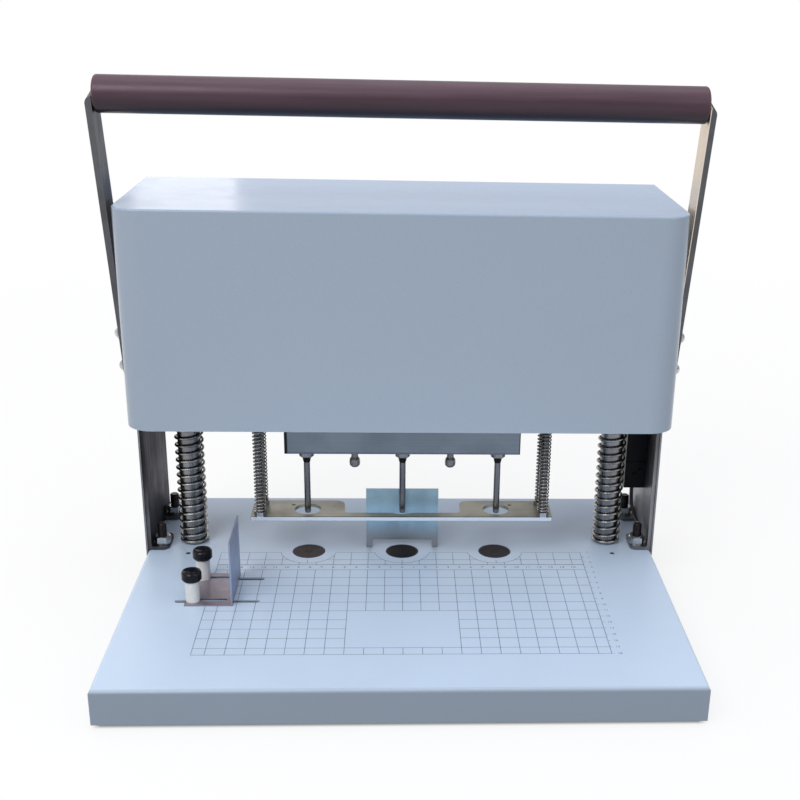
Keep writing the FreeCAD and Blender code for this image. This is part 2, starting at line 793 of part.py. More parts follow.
def carriage_plate():
    """Plate that slides on the columns, with ears for the racks and a shelf for the motor."""
    y0 = drill_y - plate_front
    y1 = drill_y + plate_back
    ear_x = bracket_x - gear_inset + 1
    body = block(-column_x - 11, column_x + 11, y0, y1, plate_z, plate_top)
    shoulders = block(-column_x - 19, column_x + 19, y0, column_y + 11, plate_z, plate_top)
    rack_line = column_y - pinion_radius
    ears = block(-ear_x, ear_x, rack_line - gear_module * 1.25 - rack_back - 4, rack_line + 6, plate_z, plate_top)
    shelf = block(-motor_shelf_half, motor_shelf_half, y0, drill_y + motor_shelf_back, plate_z, plate_top)
    body = body.fuse([shoulders, ears, shelf]).removeSplitter()
    cuts = []
    for side in (-1, 1):
        cuts.append(rod(guide_body_radius + thread_clearance, side * column_x, column_y, plate_z - 1, plate_top + 1))
        for y in rod_lines():
            cuts.append(rod(rod_radius + running_fit, side * (hole_pitch + rod_overhang), y, plate_z - 1,
                            plate_top + 1))
    for x in drill_xs:
        cuts.append(rod(spindle_radius + 2, x, drill_y, plate_z - 1, plate_top + 1))
    return body.cut(cuts)


def guide_bushes():
    """Flanged bushes that run on the columns; the springs push on their flanges."""
    bushes = []
    bore = column_radius + running_fit
    profile = [(bore, plate_z - guide_flange), (guide_flange_radius, plate_z - guide_flange),
               (guide_flange_radius, plate_z), (guide_body_radius, plate_z),
               (guide_body_radius, plate_top + guide_rise - 1), (guide_body_radius - 1, plate_top + guide_rise),
               (bore, plate_top + guide_rise)]
    for side in (-1, 1):
        bushes.append(revolve(profile, side * column_x, column_y))
    return bushes


def drill_box():
    """Folded channel round the spindle housing, open at both ends."""
    half = hole_pitch + box_margin
    y0 = drill_y - box_front
    y1 = drill_y + box_back
    z0 = table_top + box_bottom
    body = block(-half, half, y0, y1, z0, plate_z)
    outer = edges_along(body, Vector(1, 0, 0), lambda p: p.z < z0 + 0.1)
    body = body.makeFillet(2.5, outer)
    body = body.cut(block(-half - 1, half + 1, y0 + box_sheet, y1 - box_sheet, z0 + box_sheet, plate_z - box_sheet))
    body = body.cut(block(-half - 1, half + 1, y0 + 12, y1 - 12, plate_z - 2 * box_sheet, plate_z + 1))
    cuts = [rod(chuck_radius + 0.8, x, drill_y, z0 - 1, z0 + 2 * box_sheet) for x in drill_xs]
    for x in (-hole_pitch / 2, hole_pitch / 2):
        cuts.append(rod(3.1, x, drill_y, z0 - 1, z0 + 2 * box_sheet))
    return body.cut(cuts)


def housing_levels():
    """Bottom and top of the spindle housing."""
    return table_top + box_bottom + box_sheet + 3, plate_z


def spindle_housing():
    """Block that carries the bearings of the three spindles."""
    z0, z1 = housing_levels()
    half = hole_pitch + housing_margin
    body = block(-half, half, drill_y - 10.5, drill_y + 10.5, z0, z1)
    pads = [rod(housing_half_depth, x, drill_y, z0, z1 - 2 * box_sheet) for x in drill_xs]
    body = body.fuse(pads).removeSplitter()
    cuts = []
    for x in drill_xs:
        cuts.append(rod(spindle_radius + 1.5, x, drill_y, z0 - 1, z1 + 1))
        cuts.append(rod(bearing_radius, x, drill_y, z0 - 1, z0 + bearing_height))
        cuts.append(rod(bearing_radius, x, drill_y, z1 - bearing_height, z1 + 1))
    for x in (-hole_pitch / 2, hole_pitch / 2):
        cuts.append(rod(3.05, x, drill_y, z0 - 1, z0 + 14))
    return body.cut(cuts)


def spindle_bearings():
    """Two ball bearings on each spindle, kept as plain rings."""
    z0, z1 = housing_levels()
    rings = []
    for x in drill_xs:
        for low in (z0, z1 - bearing_height):
            ring = rod(bearing_radius - 0.02, x, drill_y, low, low + bearing_height)
            rings.append(ring.cut(rod(spindle_radius + running_fit, x, drill_y, low - 1, low + bearing_height + 1)))
    return rings


def box_knobs():
    """Two round-headed screws that hold the drill box from below."""
    z0, z1 = housing_levels()
    knobs = []
    low = table_top + knob_bottom
    high = low + knob_height
    r = knob_radius
    profile = [(0, low), (r * 0.62, low), (r * 0.92, low + 1.5), (r, low + knob_height * 0.45),
               (r * 0.92, high - 1.6), (r * 0.7, high), (3.0, high), (3.0, z0 + 13), (0, z0 + 13)]
    for x in (-hole_pitch / 2, hole_pitch / 2):
        knobs.append(revolve(profile, x, drill_y))
    return knobs


def pulley_level(level):
    """Lower and upper face of a belt at one level above the head plate."""
    low = plate_top + pulley_start + level * level_pitch + pulley_flange
    return low, low + belt_width


def grooved_pulley(x, y, radius, levels, bore):
    """Flanged belt pulley with one groove for each level."""
    low = pulley_level(levels[0])[0] - pulley_flange - 0.3
    high = pulley_level(levels[-1])[1] + pulley_flange + 0.3
    flange = radius + belt_thickness + 1.2
    profile = [(bore, low), (flange, low)]
    for level in levels:
        z0, z1 = pulley_level(level)
        profile += [(flange, z0 - 0.3), (radius, z0 - 0.3), (radius, z1 + 0.3), (flange, z1 + 0.3)]
    profile += [(flange, high), (bore, high)]
    return revolve(profile, x, y)


def spindle(x, levels):
    """Spindle shaft with the drill chuck turned on its lower end."""
    z0, z1 = housing_levels()
    low = table_top + chuck_bottom
    top = pulley_level(levels[-1])[1] + pulley_flange + 5
    shank = chuck_shank_radius + 0.02
    profile = [(shank, low), (chuck_radius - 1.6, low), (chuck_radius, low + 1.4),
               (chuck_radius, table_top + box_bottom + box_sheet + 1.5), (spindle_radius, z0 - 1),
               (spindle_radius, top), (bit_bore, top), (bit_bore, low + shank_depth), (shank, low + shank_depth)]
    return revolve(profile, x, drill_y)


def drill_bit(x):
    """Hollow bit: sharpened tip, collar, and a shank up inside the chuck."""
    tip = table_top + bit_rest_height
    chuck = table_top + chuck_bottom
    collar = chuck - collar_height
    profile = [(bit_bore, tip), (bit_radius - 0.45, tip), (bit_radius, tip + 1.6), (bit_radius, collar - 1.2),
               (collar_radius - 0.7, collar), (collar_radius, chuck), (chuck_shank_radius, chuck),
               (chuck_shank_radius, chuck + shank_depth - 0.5), (bit_bore, chuck + shank_depth - 0.5)]
    return revolve(profile, x, drill_y)


def belt(x0, y0, r0, x1, y1, r1, level):
    """Belt round two pulleys: two outer arcs and two straight runs."""
    z0, z1 = pulley_level(level)
    inner = belt_loop(x0, y0, r0 + belt_clearance, x1, y1, r1 + belt_clearance, z0)
    outer = belt_loop(x0, y0, r0 + belt_clearance + belt_thickness, x1, y1,
                      r1 + belt_clearance + belt_thickness, z0)
    height = Vector(0, 0, z1 - z0)
    return Part.Face(outer).extrude(height).cut(Part.Face(inner).extrude(height))


def belt_loop(x0, y0, r0, x1, y1, r1, z):
    """Closed line round two circles."""
    a = Vector(x0, y0, z)
    b = Vector(x1, y1, z)
    along = (b - a).normalize()
    span = a.distanceToPoint(b)
    lean = math.asin((r0 - r1) / span)
    side = Vector(-along.y, along.x, 0)

    def touch(centre, radius, sign):
        return centre + (along * math.sin(lean) + side * (sign * math.cos(lean))) * radius

    a_left, a_right = touch(a, r0, 1), touch(a, r0, -1)
    b_left, b_right = touch(b, r1, 1), touch(b, r1, -1)
    return Part.Wire([Part.LineSegment(a_right, b_right).toShape(),
                      Part.Arc(b_right, b + along * r1, b_left).toShape(),
                      Part.LineSegment(b_left, a_left).toShape(),
                      Part.Arc(a_left, a - along * r0, a_right).toShape()])


def drive_belts():
    """Motor to middle spindle, then middle to left and middle to right."""
    motor_y = drill_y + motor_back
    return [belt(0, drill_y, pulley_radius, 0, motor_y, motor_pulley_radius, 0),
            belt(0, drill_y, pulley_radius, -hole_pitch, drill_y, pulley_radius, 1),
            belt(0, drill_y, pulley_radius, hole_pitch, drill_y, pulley_radius, 2)]


def motor():
    """Upright motor on four legs, with end caps, ribs and a shaft stub bearing."""
    y = drill_y + motor_back
    z0 = plate_top + motor_stand
    z1 = z0 + motor_height
    r = motor_radius
    profile = [(motor_shaft_radius + running_fit, z0), (r - 6, z0), (r - 2, z0 + 4), (r - 2, z0 + 14), (r, z0 + 16),
               (r, z1 - 16), (r - 2, z1 - 14), (r - 2, z1 - 5), (r - 7, z1), (0, z1), (0, z0 + 20),
               (motor_shaft_radius + running_fit, z0 + 20)]
    body = revolve(profile, 0, y)
    legs = []
    for k in range(4):
        angle = math.radians(45 + 90 * k)
        x = (r - 8) * math.cos(angle)
        dy = (r - 8) * math.sin(angle)
        legs.append(rod(motor_leg_radius, x, y + dy, plate_top, z0 + 6))
    ribs = []
    for k in range(12):
        angle = 30 * k
        rib = block(r - 3, r + 1.6, -0.9, 0.9, z0 + 20, z1 - 20)
        rib.rotate(Vector(0, 0, 0), Vector(0, 0, 1), angle)
        rib.translate(Vector(0, y, 0))
        ribs.append(rib)
    return body.fuse(legs + ribs).removeSplitter()


def motor_pulley():
    """Small pulley and the end of the motor shaft that it sits on."""
    y = drill_y + motor_back
    pulley = grooved_pulley(0, y, motor_pulley_radius, [0], motor_shaft_radius)
    shaft = rod(motor_shaft_radius, 0, y, pulley_level(0)[0] - 3, plate_top + motor_stand + 18)
    return pulley.fuse(shaft).removeSplitter()


# Rack and pinion

def pinion(x0, x1):
    """Spur gear on the lever pivot; a tooth gap faces the rack at rest."""
    pressure = math.radians(20)
    base = pinion_radius * math.cos(pressure)
    tip = pinion_radius + gear_module
    root = pinion_radius - 1.25 * gear_module
    half_tooth = (math.pi * gear_module / 2 - backlash) / (2 * pinion_radius)
    rolled = math.tan(pressure) - pressure

    def half_angle(radius):
        flank = math.acos(base / radius)
        return half_tooth + rolled - (math.tan(flank) - flank)

    flanks = [base * 1.001, pinion_radius - gear_module / 3, pinion_radius + gear_module / 3, tip]
    points = []

    def add(radius, angle):
        points.append(Vector(x0, column_y - radius * math.cos(angle), pivot_z + radius * math.sin(angle)))

    pitch = 2 * math.pi / pinion_teeth
    for k in range(pinion_teeth):
        middle = (k + 0.5) * pitch
        add(root, middle - half_angle(flanks[0]))
        for radius in flanks:
            add(radius, middle - half_angle(radius))
        for radius in reversed(flanks):
            add(radius, middle + half_angle(radius))
        add(root, middle + half_angle(flanks[0]))
    gear = prism(points, Vector(x1 - x0, 0, 0))
    return gear.cut(rod_x(shaft_radius + thread_clearance, x0 - 1, x1 + 1, column_y, pivot_z))


def gear_span():
    """Inner and outer X of the right-hand pinion and rack."""
    outer = bracket_x - gear_inset
    return outer - gear_face, outer


def pinions():
    """One pinion on each side."""
    x0, x1 = gear_span()
    right = pinion(x0, x1)
    return [mirror_x(right), right]


def racks():
    """Toothed bar on each side of the head plate, in front of its pinion."""
    x0, x1 = gear_span()
    pitch_line = column_y - pinion_radius
    pitch = math.pi * gear_module
    slope = math.tan(math.radians(20))
    half = (pitch / 2 - backlash) / 2
    tip = pitch_line + gear_module
    root = pitch_line - 1.25 * gear_module
    back = root - rack_back
    first = -math.floor(rack_lead / pitch)
    last = math.ceil((stroke + rack_lead) / pitch)
    low = plate_top
    high = pivot_z + last * pitch + pitch
    points = [Vector(x0, back, low), Vector(x0, root, low)]
    for k in range(first, last + 1):
        z = pivot_z + k * pitch
        points += [Vector(x0, root, z - half - 1.25 * gear_module * slope),
                   Vector(x0, tip, z - half + gear_module * slope),
                   Vector(x0, tip, z + half - gear_module * slope),
                   Vector(x0, root, z + half + 1.25 * gear_module * slope)]
    points += [Vector(x0, root, high), Vector(x0, back, high)]
    right = prism(points, Vector(x1 - x0, 0, 0))
    return [mirror_x(right), right]


# Lever

def lean(shape):
    """Turns a piece drawn upright over the pivot to the lever's rest angle."""
    shape.translate(Vector(0, column_y, pivot_z))
    shape.rotate(Vector(0, column_y, pivot_z), Vector(1, 0, 0), lever_lean)
    return shape


def lever_arm_right():
    """Flat bar, round at the foot, bent in at the top into a tab for the grip."""
    half = arm_width / 2
    foot = arm_bolt_pitch / 2
    top = grip_reach + arm_thickness / 2
    inner = arm_inner_x
    outer = arm_outer_x
    tab_end = inner - tab_length
    inside = arm_bend_radius - arm_thickness
    points = [Vector(inner, -half, -foot - half), Vector(outer, -half, -foot - half),
              Vector(outer, -half, top - arm_bend_radius)]
    knee = Vector(outer - arm_bend_radius, -half, top - arm_bend_radius)
    reach = math.sqrt(0.5)
    edges = [Part.LineSegment(points[0], points[1]).toShape(), Part.LineSegment(points[1], points[2]).toShape(),
             Part.Arc(points[2], knee + Vector(reach, 0, reach) * arm_bend_radius,
                      knee + Vector(0, 0, arm_bend_radius)).toShape(),
             Part.LineSegment(knee + Vector(0, 0, arm_bend_radius), Vector(tab_end, -half, top)).toShape(),
             Part.LineSegment(Vector(tab_end, -half, top), Vector(tab_end, -half, top - arm_thickness)).toShape(),
             Part.LineSegment(Vector(tab_end, -half, top - arm_thickness),
                              knee + Vector(0, 0, inside)).toShape(),
             Part.Arc(knee + Vector(0, 0, inside), knee + Vector(reach, 0, reach) * inside,
                      knee + Vector(inside, 0, 0)).toShape(),
             Part.LineSegment(knee + Vector(inside, 0, 0), points[0]).toShape()]
    bar = Part.Face(Part.Wire(edges)).extrude(Vector(0, arm_width, 0))
    for sign in (-1, 1):
        strip = block(tab_end - 1, inner - 0.1, min(sign * tab_width / 2, sign * (half + 1)),
                      max(sign * tab_width / 2, sign * (half + 1)), top - arm_thickness - 1, top + 1)
        bar = bar.cut(strip)
    round_foot = block(inner - 1, outer + 1, -half - 1, half + 1, -foot - half - 1, -foot)
    keep = rod_x(half, inner - 1, outer + 1, 0, -foot)
    bar = bar.cut(round_foot.cut(keep))
    for z in (-foot, foot):
        bar = bar.cut(rod_x(hub_stud_radius + 0.2, inner - 1, outer + 1, 0, z))
    return lean(bar)


def lever_hub_right():
    """Round flange behind the arm, its two studs, and the pivot shaft that carries the pinion."""
    x0 = gear_span()[0] - 2
    flange = rod_x(hub_radius, arm_inner_x - hub_thickness, arm_inner_x, 0, 0)
    rim = [e for e in flange.Edges if e.Curve.TypeId == "Part::GeomCircle" and e.BoundBox.XMax < arm_inner_x - 1]
    flange = flange.makeFillet(0.8, rim)
    shaft = rod_x(shaft_radius, x0, arm_inner_x - hub_thickness / 2, 0, 0)
    studs_out = [rod_x(hub_stud_radius, arm_inner_x - hub_thickness / 2, arm_outer_x + 3, 0, z)
                 for z in (-arm_bolt_pitch / 2, arm_bolt_pitch / 2)]
    return lean(flange.fuse([shaft] + studs_out).removeSplitter())


def cap_nuts_right():
    """Domed nuts on the hub studs."""
    corner = cap_nut_flats / math.sqrt(3)
    x = arm_outer_x
    hexagon_height = cap_nut_height * 0.45
    nuts = []
    for z in (-arm_bolt_pitch / 2, arm_bolt_pitch / 2):
        points = [Vector(x, corner * math.cos(math.radians(60 * k)), z + corner * math.sin(math.radians(60 * k)))
                  for k in range(6)]
        body = prism(points, Vector(hexagon_height, 0, 0))
        dome_radius = cap_nut_flats * 0.47
        rise = cap_nut_height - hexagon_height
        sphere = (dome_radius ** 2 + rise ** 2) / (2 * rise)
        ball = Part.makeSphere(sphere, Vector(x + cap_nut_height - sphere, 0, z))
        dome = ball.common(block(x + hexagon_height, x + cap_nut_height + 1, -corner, corner, z - corner, z + corner))
        body = body.fuse(dome).cut(rod_x(hub_stud_radius + thread_clearance, x - 1, x + 3.2, 0, z))
        nuts.append(lean(body.removeSplitter()))
    return nuts


def grip_axis():
    """Y and Z of the grip's centre line at rest."""
    angle = math.radians(lever_lean)
    return column_y - grip_reach * math.sin(angle), pivot_z + grip_reach * math.cos(angle)


def grip_core():
    """Steel tube inside the grip; the arm tabs fit its bore."""
    y, z = grip_axis()
    half = arm_inner_x - 2.5
    tube = rod_x(core_radius, -half, half, y, z)
    return tube.cut(rod_x(core_radius - core_wall, -half - 1, half + 1, y, z))


def handle_grip():
    """Round grip sleeve with softened ends."""
    y, z = grip_axis()
    half = arm_inner_x - grip_end_gap
    sleeve = rod_x(grip_radius, -half, half, y, z)
    rims = [e for e in sleeve.Edges if e.Curve.TypeId == "Part::GeomCircle"]
    sleeve = sleeve.makeFillet(grip_end_radius, rims)
    return sleeve.cut(rod_x(core_radius + thread_clearance, -half - 1, half + 1, y, z))


def hub_bushes():
    """Flanged bushes for the lever pivots, pressed into the brackets."""
    inner = shaft_radius + running_fit
    body = rod_x(inner + bush_wall - 0.05, bracket_x - bush_flange, side_x, column_y, pivot_z)
    flange = rod_x(inner + bush_wall + 3, bracket_x - bush_flange, bracket_x, column_y, pivot_z)
    bush = body.fuse(flange).removeSplitter()
    bush = bush.cut(rod_x(inner, bracket_x - bush_flange - 1, side_x + 1, column_y, pivot_z))
    return [mirror_x(bush), bush]


# Presser

def rod_lines():
    """Y of the front and rear presser rods."""
    return drill_y - rod_front, drill_y + rod_back


def presser_plate():
    """Plate that holds the paper: wide ends, a narrow middle bar, three drill holes."""
    half = hole_pitch + presser_overhang
    y0 = drill_y - presser_front
    y1 = drill_y + presser_back
    bar = drill_y - presser_bar_back
    z0 = table_top + bit_rest_height - 0.1
    body = block(-half, half, y0, y1, z0, z0 + presser_thickness)
    window = block(-presser_bar_half, presser_bar_half, bar, y1 + 1, z0 - 1, z0 + presser_thickness + 1)
    body = body.cut(window)
    outer = edges_along(body, Vector(0, 0, 1), lambda p: p.y > y1 - 0.1)
    body = body.makeFillet(presser_corner, outer)
    inner = edges_along(body, Vector(0, 0, 1), lambda p: abs(p.y - bar) < 0.1 and abs(p.x) < half - 1)
    body = body.makeFillet(presser_corner / 2, inner)
    front = edges_along(body, Vector(0, 0, 1), lambda p: p.y < y0 + 0.1)
    body = body.makeFillet(2, front)
    cuts = [rod(presser_hole, x, drill_y, z0 - 1, z0 + presser_thickness + 1) for x in drill_xs]
    for side in (-1, 1):
        for y in rod_lines():
            cuts.append(rod(rod_radius + thread_clearance, side * (hole_pitch + rod_overhang), y, z0 - 1,
                            z0 + presser_thickness + 1))
        cuts.append(rod(1.8, side * (hole_pitch + 13), drill_y + 9, z0 - 1, z0 + presser_thickness + 1))
    return body.cut(cuts)


def presser_rods():
    """Four rods that slide up through the head plate."""
    z0 = table_top + bit_rest_height
    rods = []
    for side in (-1, 1):
        for y in rod_lines():
            rods.append(rod(rod_radius, side * (hole_pitch + rod_overhang), y, z0, plate_top + 9))
    return rods


def presser_nuts():
    """A nut on the presser plate and a stop nut over the head plate, on each rod."""
    shapes = []
    low = table_top + bit_rest_height - 0.1 + presser_thickness
    for side in (-1, 1):
        for y in rod_lines():
            for z in (low, plate_top + 0.1):
                shapes.append(hexagon(rod_nut_flats, side * (hole_pitch + rod_overhang), y, z,
                                      z + rod_nut_height, rod_radius + thread_clearance))
    return shapes


def presser_springs():
    """Small springs on the rods between the nuts and the head plate."""
    z0 = table_top + bit_rest_height - 0.1 + presser_thickness + rod_nut_height + spring_end_gap
    springs = []
    for side in (-1, 1):
        for y in rod_lines():
            springs.append(spring("presser spring", side * (hole_pitch + rod_overhang), y, z0,
                                  plate_z - spring_end_gap, rod_spring_radius, rod_spring_wire, rod_spring_turns))
    return springs


def column_spring(side):
    """Large spring on a column, from the table up to the guide bush."""
    return spring("column spring", side * column_x, column_y, table_top + spring_end_gap,
                  plate_z - guide_flange - spring_end_gap, column_spring_radius, column_spring_wire,
                  column_spring_turns)


# Side guide

def guide_lines():
    """Y of the guide's front and rear slots."""
    return drill_y - guide_front_slot, drill_y - guide_rear_slot


def side_guide():
    """Bent angle: an upright wall and a base with two slots."""
    front, rear = guide_lines()
    y0 = (front + rear) / 2 - guide_depth / 2
    y1 = y0 + guide_depth
    wall = block(-guide_wall_x - guide_sheet, -guide_wall_x, y0, y1, table_top, table_top + guide_height)
    base = block(-guide_wall_x - guide_base, -guide_wall_x, y0, y1, table_top, table_top + guide_sheet)
    body = wall.fuse(base).removeSplitter()
    bend = edges_along(body, Vector(0, 1, 0), lambda p: abs(p.x + guide_wall_x) < 0.1 and p.z < table_top + 0.1)
    body = body.makeFillet(guide_sheet * 0.8, bend)
    left = -guide_wall_x - guide_base + 4
    cuts = [slot_along_x(left, -guide_wall_x - 5, y, guide_slot, table_top - 1, table_top + 3)
            for y in (front, rear)]
    return body.cut(cuts)


def guide_places():
    """X and Y of the front and rear guide bolts."""
    front, rear = guide_lines()
    return [(-front_bolt_x, front), (-rear_bolt_x, rear)]


def guide_spacers():
    """Nylon spacers under the clamp knobs."""
    shapes = []
    z0 = table_top + guide_sheet
    for x, y in guide_places():
        tube = rod(spacer_radius, x, y, z0, z0 + spacer_height)
        shapes.append(tube.cut(rod(guide_bolt_radius + 0.15, x, y, z0 - 1, z0 + spacer_height + 1)))
    return shapes


def guide_bolts():
    """Carriage bolts up through the table slots, square heads below the sheet."""
    shapes = []
    top = table_top + guide_sheet + spacer_height + guide_knob_height * 0.7
    head = table_top - table_sheet
    for x, y in guide_places():
        shank = rod(guide_bolt_radius, x, y, head - 1, top)
        shapes.append(shank.fuse(block(x - 4.5, x + 4.5, y - 4.5, y + 4.5, head - 3, head)))
    return shapes


def guide_knob(x, y):
    """Black clamp knob, hollowed on top."""
    low = table_top + guide_sheet + spacer_height
    high = low + guide_knob_height
    r = guide_knob_radius
    bore = guide_bolt_radius + thread_clearance
    ceiling = low + guide_knob_height * 0.7 + 0.3
    profile = [(bore, low), (r - 1.2, low), (r, low + 1.5), (r, high - 1.8), (r - 0.9, high - 0.4), (r - 2, high),
               (r - 3, high - 0.5), (0, high - 1.6), (0, ceiling), (bore, ceiling)]
    return revolve(profile, x, y)


# Back gauge

def back_gauge():
    """Upright plate bent back into a slotted foot, with a window through the bend."""
    y0 = drill_y + gauge_setback
    sheet = gauge_sheet
    wall = block(-gauge_half_width, gauge_half_width, y0, y0 + sheet, table_top, table_top + gauge_height)
    foot = block(-gauge_half_width, gauge_half_width, y0, y0 + gauge_foot, table_top, table_top + sheet)
    body = wall.fuse(foot).removeSplitter()
    corners = edges_along(body, Vector(0, 0, 1), lambda p: p.y > y0 + gauge_foot - 0.1)
    body = body.makeFillet(gauge_corner, corners)
    bend = edges_along(body, Vector(1, 0, 0), lambda p: p.y < y0 + 0.1 and p.z < table_top + 0.1)
    body = body.makeFillet(gauge_sheet * 0.8, bend)
    body = body.cut(block(-gauge_half_width + gauge_leg, gauge_half_width - gauge_leg, y0 - 1,
                          y0 + gauge_window_depth, table_top - 1, table_top + gauge_window))
    screw = drill_y + gauge_screw_back
    half = gauge_screw_radius + 0.2
    return body.cut(slot_along_y(screw - gauge_travel - half - 0.3, screw + half + 0.3, 0, 2 * half,
                                 table_top - 1, table_top + 3))


def gauge_knob():
    """Clamp knob and its screw through the gauge's slot into the table."""
    y = drill_y + gauge_screw_back
    low = table_top + gauge_sheet
    r = gauge_knob_radius
    high = low + gauge_knob_height
    profile = [(0, table_top - table_sheet - stiffener_thickness), (gauge_screw_radius,
               table_top - table_sheet - stiffener_thickness), (gauge_screw_radius, low), (r - 1, low), (r, low + 1),
               (r, high - 1.5), (r - 1.5, high), (0, high)]
    return revolve(profile, 0, y)


def main():
    os.makedirs("parts", exist_ok=True)
    save(base_tray(), "base_tray")
    save(base_plate(), "base_plate")
    save(cutting_pads(), "cutting_pads")
    save(rubber_feet(), "rubber_feet")
    left = bracket_left()
    save(left, "side_bracket_left")
    save(mirror_x(left), "side_bracket_right")
    left = panel_left()
    save(left, "side_panel_left")
    save(mirror_x(left), "side_panel_right")
    save(studs(), "bracket_studs")
    save(stud_nuts(), "bracket_nuts")
    left = column_left()
    save(left, "column_left")
    save(mirror_x(left), "column_right")
    save(column_nuts(), "column_nuts")
    save(column_spring(-1), "column_spring_left")
    save(column_spring(1), "column_spring_right")
    save(crossbar(), "top_crossbar")
    save(frame_screws(), "frame_screws")
    save(head_cover(), "head_cover")
    save(rear_cover(), "rear_cover")
    save(power_inlet(), "power_inlet")
    save(electrical_box(), "electrical_box")
    save(earth_lead(), "earth_lead")
    save(hub_bushes(), "hub_bushes")
    save(carriage_plate(), "carriage_plate")
    save(guide_bushes(), "guide_bushes")
    save(drill_box(), "drill_box")
    save(spindle_housing(), "spindle_housing")
    save(spindle_bearings(), "spindle_bearings")
    save(box_knobs(), "box_knobs")
    save(drive_belts(), "drive_belts")
    save(motor(), "motor")
    save(motor_pulley(), "motor_pulley")
    save(racks(), "racks")
    save(presser_springs(), "presser_springs")
    for side, x, levels in (("left", -hole_pitch, [1]), ("center", 0.0, [0, 1, 2]), ("right", hole_pitch, [2])):
        save(spindle(x, levels), "spindle_" + side)
        save(drill_bit(x), "drill_bit_" + side)
        save(grooved_pulley(x, drill_y, pulley_radius, levels, spindle_radius + 0.01), "pulley_" + side)
    save(presser_plate(), "presser_plate")
    save(presser_rods(), "presser_rods")
    save(presser_nuts(), "presser_nuts")
    right = lever_arm_right()
    save(mirror_x(right), "lever_arm_left")
    save(right, "lever_arm_right")
    right = lever_hub_right()
    save([mirror_x(right), right], "lever_hubs")
    save(pinions(), "pinions")
    right = cap_nuts_right()
    save([mirror_x(nut) for nut in right] + right, "arm_cap_nuts")
    save(grip_core(), "grip_core")
    save(handle_grip(), "handle_grip")
    save(side_guide(), "side_guide")
    save(guide_spacers(), "guide_spacers")
    save(guide_bolts(), "guide_bolts")
    (front_x, front_y), (rear_x, rear_y) = guide_places()
    save(guide_knob(front_x, front_y), "guide_knob_front")
    save(guide_knob(rear_x, rear_y), "guide_knob_rear")
    save(back_gauge(), "back_gauge")
    save(gauge_knob(), "gauge_knob")
    print("pinion radius %.3f mm, lever swing %.2f degrees" % (pinion_radius, math.degrees(stroke / pinion_radius)))
    print("drill line y %.1f, table top z %.1f, column x %.1f y %.1f" % (drill_y, table_top, column_x, column_y))
    print("pivot z %.1f, grip %s, head plate z %.1f" % (pivot_z, grip_axis(), plate_z))


main()
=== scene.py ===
import math

import bmesh
import bpy
from mathutils import Matrix, Vector


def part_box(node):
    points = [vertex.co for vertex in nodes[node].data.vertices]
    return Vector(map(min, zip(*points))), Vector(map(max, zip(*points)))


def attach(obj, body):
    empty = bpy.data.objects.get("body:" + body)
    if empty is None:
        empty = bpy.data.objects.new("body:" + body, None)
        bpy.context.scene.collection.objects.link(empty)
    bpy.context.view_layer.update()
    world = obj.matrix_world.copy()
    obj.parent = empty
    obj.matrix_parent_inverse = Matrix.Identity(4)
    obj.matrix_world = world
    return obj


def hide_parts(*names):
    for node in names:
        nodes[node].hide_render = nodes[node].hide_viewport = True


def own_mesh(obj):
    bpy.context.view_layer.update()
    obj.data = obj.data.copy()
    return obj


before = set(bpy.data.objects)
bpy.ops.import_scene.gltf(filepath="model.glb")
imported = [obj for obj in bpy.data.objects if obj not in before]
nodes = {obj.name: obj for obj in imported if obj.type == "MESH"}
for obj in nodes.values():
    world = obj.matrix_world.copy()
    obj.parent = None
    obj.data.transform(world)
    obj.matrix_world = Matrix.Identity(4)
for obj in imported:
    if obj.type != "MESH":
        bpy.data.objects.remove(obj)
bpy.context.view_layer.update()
print("model loaded", len(nodes), "nodes")

mm = 0.001
tableSheet = 1.5 * mm
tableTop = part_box("base_plate")[1].z + tableSheet
drillLine = (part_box("spindle_center")[0].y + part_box("spindle_center")[1].y) / 2
holePitch = 83 * mm
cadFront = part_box("base_tray")[0].y


# Camera, at the photograph's height and angle

view = {
    "place": (-0.0068, -0.9534, 0.5093),
    "yaw": 3.31,
    "pitch": 21.56,
    "roll": 1.42,
    "lens": 55.89,
    "shift": (-0.0769, 0.0871),
    "clip": 0.02,
}
level = Matrix(((1, 0, 0), (0, 0, -1), (0, 1, 0)))
turn = (
    Matrix.Rotation(math.radians(view["roll"]), 3, "Z")
    @ Matrix.Rotation(math.radians(view["pitch"]), 3, "X")
    @ level
    @ Matrix.Rotation(math.radians(view["yaw"]), 3, "Z")
)
cameraData = bpy.data.cameras.new("photoCamera")
cameraData.lens = view["lens"]
cameraData.shift_x, cameraData.shift_y = view["shift"]
cameraData.clip_start = view["clip"]
camera = bpy.data.objects.new("photoCamera", cameraData)
bpy.context.scene.collection.objects.link(camera)
facing = Matrix((turn[0], -turn[1], -turn[2])).transposed().to_4x4()
camera.matrix_world = Matrix.Translation(view["place"]) @ facing
bpy.context.scene.camera = camera
print("camera set")


# Small helpers for meshes and nodes

def pieceFrom(bm, name, body, material, smooth=True):
    bmesh.ops.recalc_face_normals(bm, faces=bm.faces)
    mesh = bpy.data.meshes.new(name)
    bm.to_mesh(mesh)
    bm.free()
    for face in mesh.polygons:
        face.use_smooth = smooth
    piece = bpy.data.objects.new(name, mesh)
    bpy.context.scene.collection.objects.link(piece)
    mesh.materials.append(material)
    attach(piece, body)
    return piece


def put(tree, kind, values=None, **settings):
    made = tree.nodes.new(kind)
    for name, value in settings.items():
        setattr(made, name, value)
    for name, value in (values or {}).items():
        made.inputs[name].default_value = value
    return made


def join(tree, source, target):
    tree.links.new(source, target)


